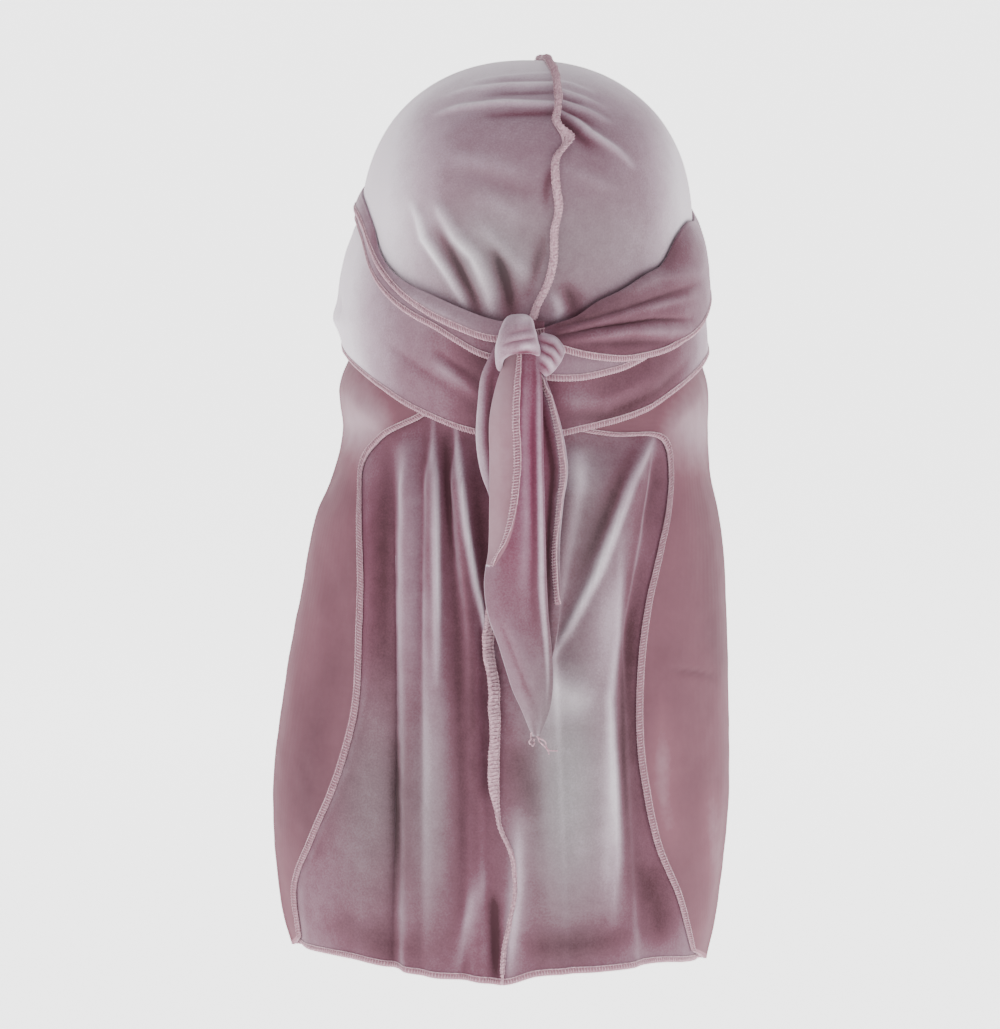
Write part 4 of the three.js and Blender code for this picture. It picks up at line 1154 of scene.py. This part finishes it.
knot = {
    "rise": 12, "wall": 1.4, "loopPlies": 5.2, "tuckPlies": 5.6,
    # the loop rounds over at its sides: how far across, how its drop bends, how it pinches in
    "loopRound": 1.5, "loopBend": 2.2, "loopPinch": 0.3, "loopEdge": 0.58, "loopNap": 0.43,
    # the tuck from its hidden inner side outward: its x, its drops, how it puffs and turns back
    "innerX": 3.6, "innerDrops": (129.5, 144), "tuckPuff": 3.4, "tuckBack": 0.2, "tuckNap": 0.34,
    # the loop from its hidden top down: share, left and right x, then drop at the left, middle and
    # right, and how far out
    "loop": [
        (0, -8, -1.5, 126, 124, 126, -1.5), (0.12, -9, -0.2, 123, 120.8, 122.6, 3.5),
        (0.26, -11, 1.3, 124.6, 120.3, 123, 7.5), (0.42, -12.7, 2.5, 128.6, 123.8, 126.6, 10.5),
        (0.6, -14, 3.6, 133, 129.6, 131, 12), (0.76, -14.8, 4.4, 138, 134, 135, 12),
        (0.88, -14.2, 4.6, 143.5, 136.4, 137.8, 10.5), (0.96, -13.2, 4.2, 145.2, 136.6, 138, 8.5),
        (1, -12.6, 3.8, 144.6, 136, 137.4, 6),
    ],
    # in (x, drop): painted highlights over the top, and painted shadow along the bottom where it tucks under
    "creases": [
        (-0.7, -0.2, 0.8, (-11.5, 133.4), (-7, 131.8), (-2, 131), (2.6, 130.6)),
        (0.3, 0.12, 0.9, (-11, 131.8), (-6, 130), (-1, 129.2), (2.4, 129.2)),
        (-0.35, -0.12, 0.7, (-9, 128.8), (-3, 127), (2, 126.4)),
        (0.2, 0.34, 1.2, (-4.5, 134.8), (-1, 133.8), (3.4, 134.2)),
        (0.0, -0.5, 0.9, (-11, 139.8), (-7, 137.3), (-1, 136.2), (4, 137.4)),
        (0.2, 0.22, 2.6, (-6, 122.6), (-2, 122), (0.4, 123)),
        (0.0, 0.1, 2.4, (-12.6, 130), (-13.6, 136), (-13.4, 143)),
    ],
    # the tuck's outline: share along it, x and drop
    "tuck": [
        (0, 6.5, 128.6), (0.25, 12.4, 130.6), (0.45, 15.9, 135.6), (0.65, 14.8, 140.4), (0.85, 10.8, 145.8),
        (1, 7.6, 147.8),
    ],
    # the tuck's pleats in (x, drop): painted highlights on their ridges and painted shade between them
    "tuckCreases": [
        (0.4, 0.24, 1.0, (5.6, 129.6), (11.5, 131.9), (15.4, 137)),
        (-0.45, -0.26, 0.8, (5.2, 131.6), (11, 134.2), (14.8, 139)),
        (0.4, 0.26, 0.9, (5, 133.4), (11, 136.6), (14, 141)),
        (-0.45, -0.26, 0.8, (5, 135.6), (10, 138.8), (12.6, 143)),
        (0.4, 0.34, 1.2, (5, 138), (9, 141), (11, 145)),
        (-0.3, -0.2, 0.8, (5, 141.4), (8, 144), (9.4, 147)),
    ],
}


def knotLoop():
    depth = capHalfDepth + knot["loopPlies"] * ply
    turned = knot["loopRound"]

    def surface(u, v):
        across = 2 * u - 1
        _, left, right, dropLeft, dropMiddle, dropRight, out = readTable(knot["loop"], v)
        pinch = 1 - knot["loopPinch"] * across ** 2 - knot["loopEdge"] * across ** 8
        x = mix(left, right, 0.5 + 0.5 * math.sin(across * turned) / math.sin(turned))
        drop = mix(dropMiddle, dropLeft if across < 0 else dropRight, abs(across) ** knot["loopBend"])
        return Vector((x, -depth - out * pinch, capTop - drop))

    def detail(u, v, point):
        rise, shine = readFolds(knot["creases"], point.x, capTop - point.z)
        soft = 0.4 * wobble(point.x, point.y, point.z, 5)
        # The loop is painted darker towards its sides, where it rounds over: painted shade.
        return rise + soft, knot["loopNap"] - 0.16 * (2 * u - 1) ** 6 + shine, farFromEdge

    piece = layCloth("knotLoop", surface, detail, 44, 60, (24, 30), knot["wall"], Vector((0, -1, 0)))
    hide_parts("knot_loop")


def knotTuck():
    depth = capHalfDepth + knot["tuckPlies"] * ply

    def surface(u, v):
        outerX, outerDrop = readTable(knot["tuck"], u)[1:]
        x, drop = mix(knot["innerX"], outerX, v), mix(mix(*knot["innerDrops"], u), outerDrop, v)
        puff = knot["tuckPuff"] * math.sin(math.pi * (0.15 + 0.75 * v))
        y = -depth - puff + knot["tuckBack"] * knot["rise"] * v ** 3
        return Vector((x, y, capTop - drop))

    def detail(u, v, point):
        rise, shine = readFolds(knot["tuckCreases"], point.x, capTop - point.z)
        return rise, knot["tuckNap"] + shine, farFromEdge

    piece = layCloth("knotTuck", surface, detail, 50, 40, (20, 12), outward=Vector((0, -1, 0)))
    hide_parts("knot_tuck")


knotLoop()
knotTuck()
print("knot made")


# ---- tails: the straps' two ends, folded lengthwise and hanging from the knot

tailDepth = capHalfDepth + 3.4 * ply
tailFront = {
    "length": 182, "width": 27, "startDrop": 130.5, "curl": 4.5, "ridge": 2, "columns": 50, "rows": 160,
    # length, left and right edge as shares of the width, how far out
    "sections": [
        (0, -0.3, 0.16, 0.9), (0.06, -0.42, 0.2, 0.9), (0.12, -0.55, 0.23, 1), (0.2, -0.66, 0.24, 1.05),
        (0.3, -0.66, 0.25, 1), (0.42, -0.66, 0.27, 0.98), (0.53, -0.68, 0.29, 0.96),
        (0.62, -0.74, 0.31, 0.95),
        (0.7, -0.66, 0.34, 0.94), (0.77, -0.5, 0.39, 0.93), (0.84, -0.35, 0.42, 0.92),
        (0.89, -0.24, 0.41, 0.91),
        (0.94, -0.09, 0.35, 0.9), (1, 0.08, 0.19, 0.9),
    ],
    # where the velvet laps over the reverse: length and share across
    "lap": [
        (0.03, 0.36), (0.065, 0.39), (0.285, 0.465), (0.36, 0.44), (0.44, 0.37), (0.51, 0.25), (0.57, 0.06),
    ],
    # in (percent across, mm along)
    # shine paints highlights on the ridges and shade in the valleys
    "creases": [
        (0.9, 0.5, 3.6, (92, 4), (92, 80), (91, 130), (84, 164)),
        (-0.7, -0.16, 8, (80, 10), (78, 80), (76, 130)),
        (-0.3, -0.16, 4, (52, 8), (54, 40), (54, 70)),
        (0.6, 0.12, 8, (58, 20), (60, 80), (56, 120)), (0.6, 0.15, 12, (30, 120), (34, 150), (50, 172)),
        (-0.5, -0.14, 6, (16, 128), (34, 158), (56, 176)),
    ],
}
tailBack = {
    "length": 158, "width": 41, "startDrop": 134.5, "curl": 1.5, "ridge": 1, "columns": 40, "rows": 150,
    "sections": [
        (0, -0.38, 0.12, 0.25), (0.08, -0.52, 0.18, 0.3), (0.16, -0.56, 0.29, 0.4),
        (0.27, -0.58, 0.4, 0.45),
        (0.36, -0.53, 0.44, 0.45), (0.45, -0.42, 0.39, 0.45), (0.6, -0.38, 0.35, 0.45),
        (0.75, -0.34, 0.36, 0.45),
        (0.88, -0.22, 0.29, 0.45), (1, -0.02, 0.14, 0.45),
    ],
    "lap": [(0.06, 0.88), (0.16, 0.93), (0.3, 0.92), (0.45, 0.93), (0.62, 0.9), (0.75, 0.92)],
    # shine paints the edges pale as highlights and shade in the hollows
    "creases": [
        (-1.4, -0.4, 6, (80, 4), (82, 50), (82, 100), (80, 130)),
        (0.4, 0.4, 4, (97, 10), (97, 60), (97, 100)),
        (0.5, 0.35, 5, (3, 4), (3, 40), (5, 76)), (-0.8, -0.3, 7, (18, 6), (17, 40), (20, 66)),
    ],
}


# The lap is a cut edge lying on the tail, a little above the cloth beside it, and stitched.
lapStep = {"height": 0.45, "slope": 0.5, "stitchLift": 0.4, "stitchBite": 3.2, "reverseNap": 0.95}


def layTail(name, node, tail, napAndShade, turned, flat):
    columns, rows, lap = tail["columns"], tail["rows"], tail["lap"]

    def lapAt(v):
        return readTable(lap, v)[1]

    def surface(u, v):
        length, left, right, out = readTable(tail["sections"], v)
        slack = smooth(v, 0, 0.2) * (1 - 0.6 * smooth(v, 0.8, 1))
        bow = tail["curl"] * math.sin(math.pi * u) + tail["ridge"] * math.sin(2 * math.pi * u)
        x, z = mix(left, right, u) * tail["width"], capTop - tail["startDrop"] - v * tail["length"]
        return Vector((x, -(tailDepth + out * knot["rise"] / 2 + bow * slack), z))

    def isReverse(u, v):
        return turned and u < lapAt(v) and v < lap[-1][0]

    def detail(u, v, point):
        rise, shine = readFolds(tail["creases"], u * 100, v * tail["length"])
        soft = 0.4 * wobble(point.x * 2, point.y, point.z * 0.4, 12)
        past = (u - lapAt(v)) * flat[0]
        fade = 1 - smooth(v, lap[-1][0] - 0.04, lap[-1][0] + 0.02)
        lapped = lapStep["height"] * math.tanh(past / lapStep["slope"]) * fade
        shade = lapStep["reverseNap"] if isReverse(u, v) else napAndShade
        return rise + soft + lapped, shade + shine, past if 0 < past and v < lap[-1][0] else farFromEdge

    piece = layCloth(name, surface, detail, columns, rows, flat, outward=Vector((0, -1, 0)),
                     turnedAt=isReverse)
    grid = grids[name]
    line = []
    for j in range(round(lap[0][0] * rows), round(lap[-1][0] * rows) + 1):
        at = lapAt(j / rows) * columns
        i = min(int(at), columns - 1)
        (a, normal), (b, _) = grid[i, j], grid[i + 1, j]
        point = a.lerp(b, at - i) + normal * lapStep["stitchLift"]
        line.append((point, (b - a).normalized(), normal))
    stitches = sergeEdges(name + "Stitches", [line], lapStep["stitchBite"])
    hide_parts(node)


layTail("tailFront", "tail_front", tailFront, 0.28, True, (27, 182))
layTail("tailBack", "tail_back", tailBack, 0.3, False, (41, 158))


# Loose ends of the overlock thread at the front tail's tip: how much each sways, then x and drop.
looseEnds = {
    "out": 6.5, "steps": 24, "thickness": 0.42,
    "paths": [
        (0.5, [(2.5, 309), (4, 313), (7.5, 315), (9, 319), (13, 319.5)]),
        (0.9, [(2.2, 309), (1, 313), (0.6, 316), (2.2, 317), (2.6, 314)]),
        (0.3, [(3, 310), (5, 315), (8, 318), (9.5, 321)]),
    ],
}


def threadEnds():
    y = -(tailDepth + looseEnds["out"])
    ends = []
    for sway, path in looseEnds["paths"]:
        run = []
        for k in range(looseEnds["steps"] + 1):
            x, drop = readAlong(path, k / looseEnds["steps"])
            x += sway * wobble(x, drop, k, 3)
            run.append((Vector((x, y - sway * math.sin(k * 0.8), capTop - drop)), 1.0))
        ends.append(run)
    layThread("threadEnds", ends, looseEnds["thickness"])


threadEnds()
print("tails made")


# ---- studio

# The paper: a flat floor, a bend and a wall, in metres
paperSweep = {"floor": -0.62, "half": 6, "length": 9.5, "flat": 5, "bend": 3, "radius": 1.9, "wallStretch": 2}


def makeStudio():
    flat, bend, radius = paperSweep["flat"], paperSweep["bend"], paperSweep["radius"]
    floor = bmesh.new()
    bmesh.ops.create_grid(floor, x_segments=2, y_segments=40, size=1)
    for vert in floor.verts:
        run = (vert.co.y + 1) / 2 * paperSweep["length"]
        if run < flat:
            y, z = run - flat / 2, 0
        elif run < flat + bend:
            angle = (run - flat) / bend * math.pi / 2
            y, z = flat / 2 + radius * math.sin(angle), radius * (1 - math.cos(angle))
        else:
            y, z = flat / 2 + radius, radius + (run - flat - bend) * paperSweep["wallStretch"]
        vert.co = (vert.co.x * paperSweep["half"], y, z + paperSweep["floor"])
    bmesh.ops.recalc_face_normals(floor, faces=floor.faces)
    paper, tree, shader = startMaterial("studioPaper")
    shader.inputs["Base Color"].default_value = linear("#F4F3F3")
    shader.inputs["Roughness"].default_value = 0.9
    shader.inputs["Emission Color"].default_value = linear("#FFFFFF")
    shader.inputs["Emission Strength"].default_value = 2.6
    makePiece("floor", floor, (paper,))


lightColor = "#FFF9FE"
lights = {
    # name: place, what it points at, size, power
    "top": ((0, -0.7, 1.7), (0, 0, -0.15), 1.0, 14),
    "left": ((-1.9, -1.1, 0.35), (0, 0, -0.2), 0.9, 20),
    "right": ((1.9, -1.0, 0.35), (0, 0, -0.2), 0.9, 15),
    "front": ((0.3, -2.6, 0.4), (0, 0, -0.2), 1.2, 5),
}


def makeLights():
    for name, (place, target, size, power) in lights.items():
        data = bpy.data.lights.new(name, "AREA")
        data.size = size
        data.energy = power
        data.color = linear(lightColor)[:3]
        lamp = bpy.data.objects.new(name, data)
        lamp.location = place
        lamp.rotation_euler = (Vector(target) - Vector(place)).to_track_quat("-Z", "Y").to_euler()
        bpy.context.collection.objects.link(lamp)
    world = bpy.data.worlds.new("studio")
    world.use_nodes = True
    background = world.node_tree.nodes["Background"]
    background.inputs["Color"].default_value = linear("#F2F2F5")
    background.inputs["Strength"].default_value = 0.14
    bpy.context.scene.world = world


makeStudio()
makeLights()
print("studio made")
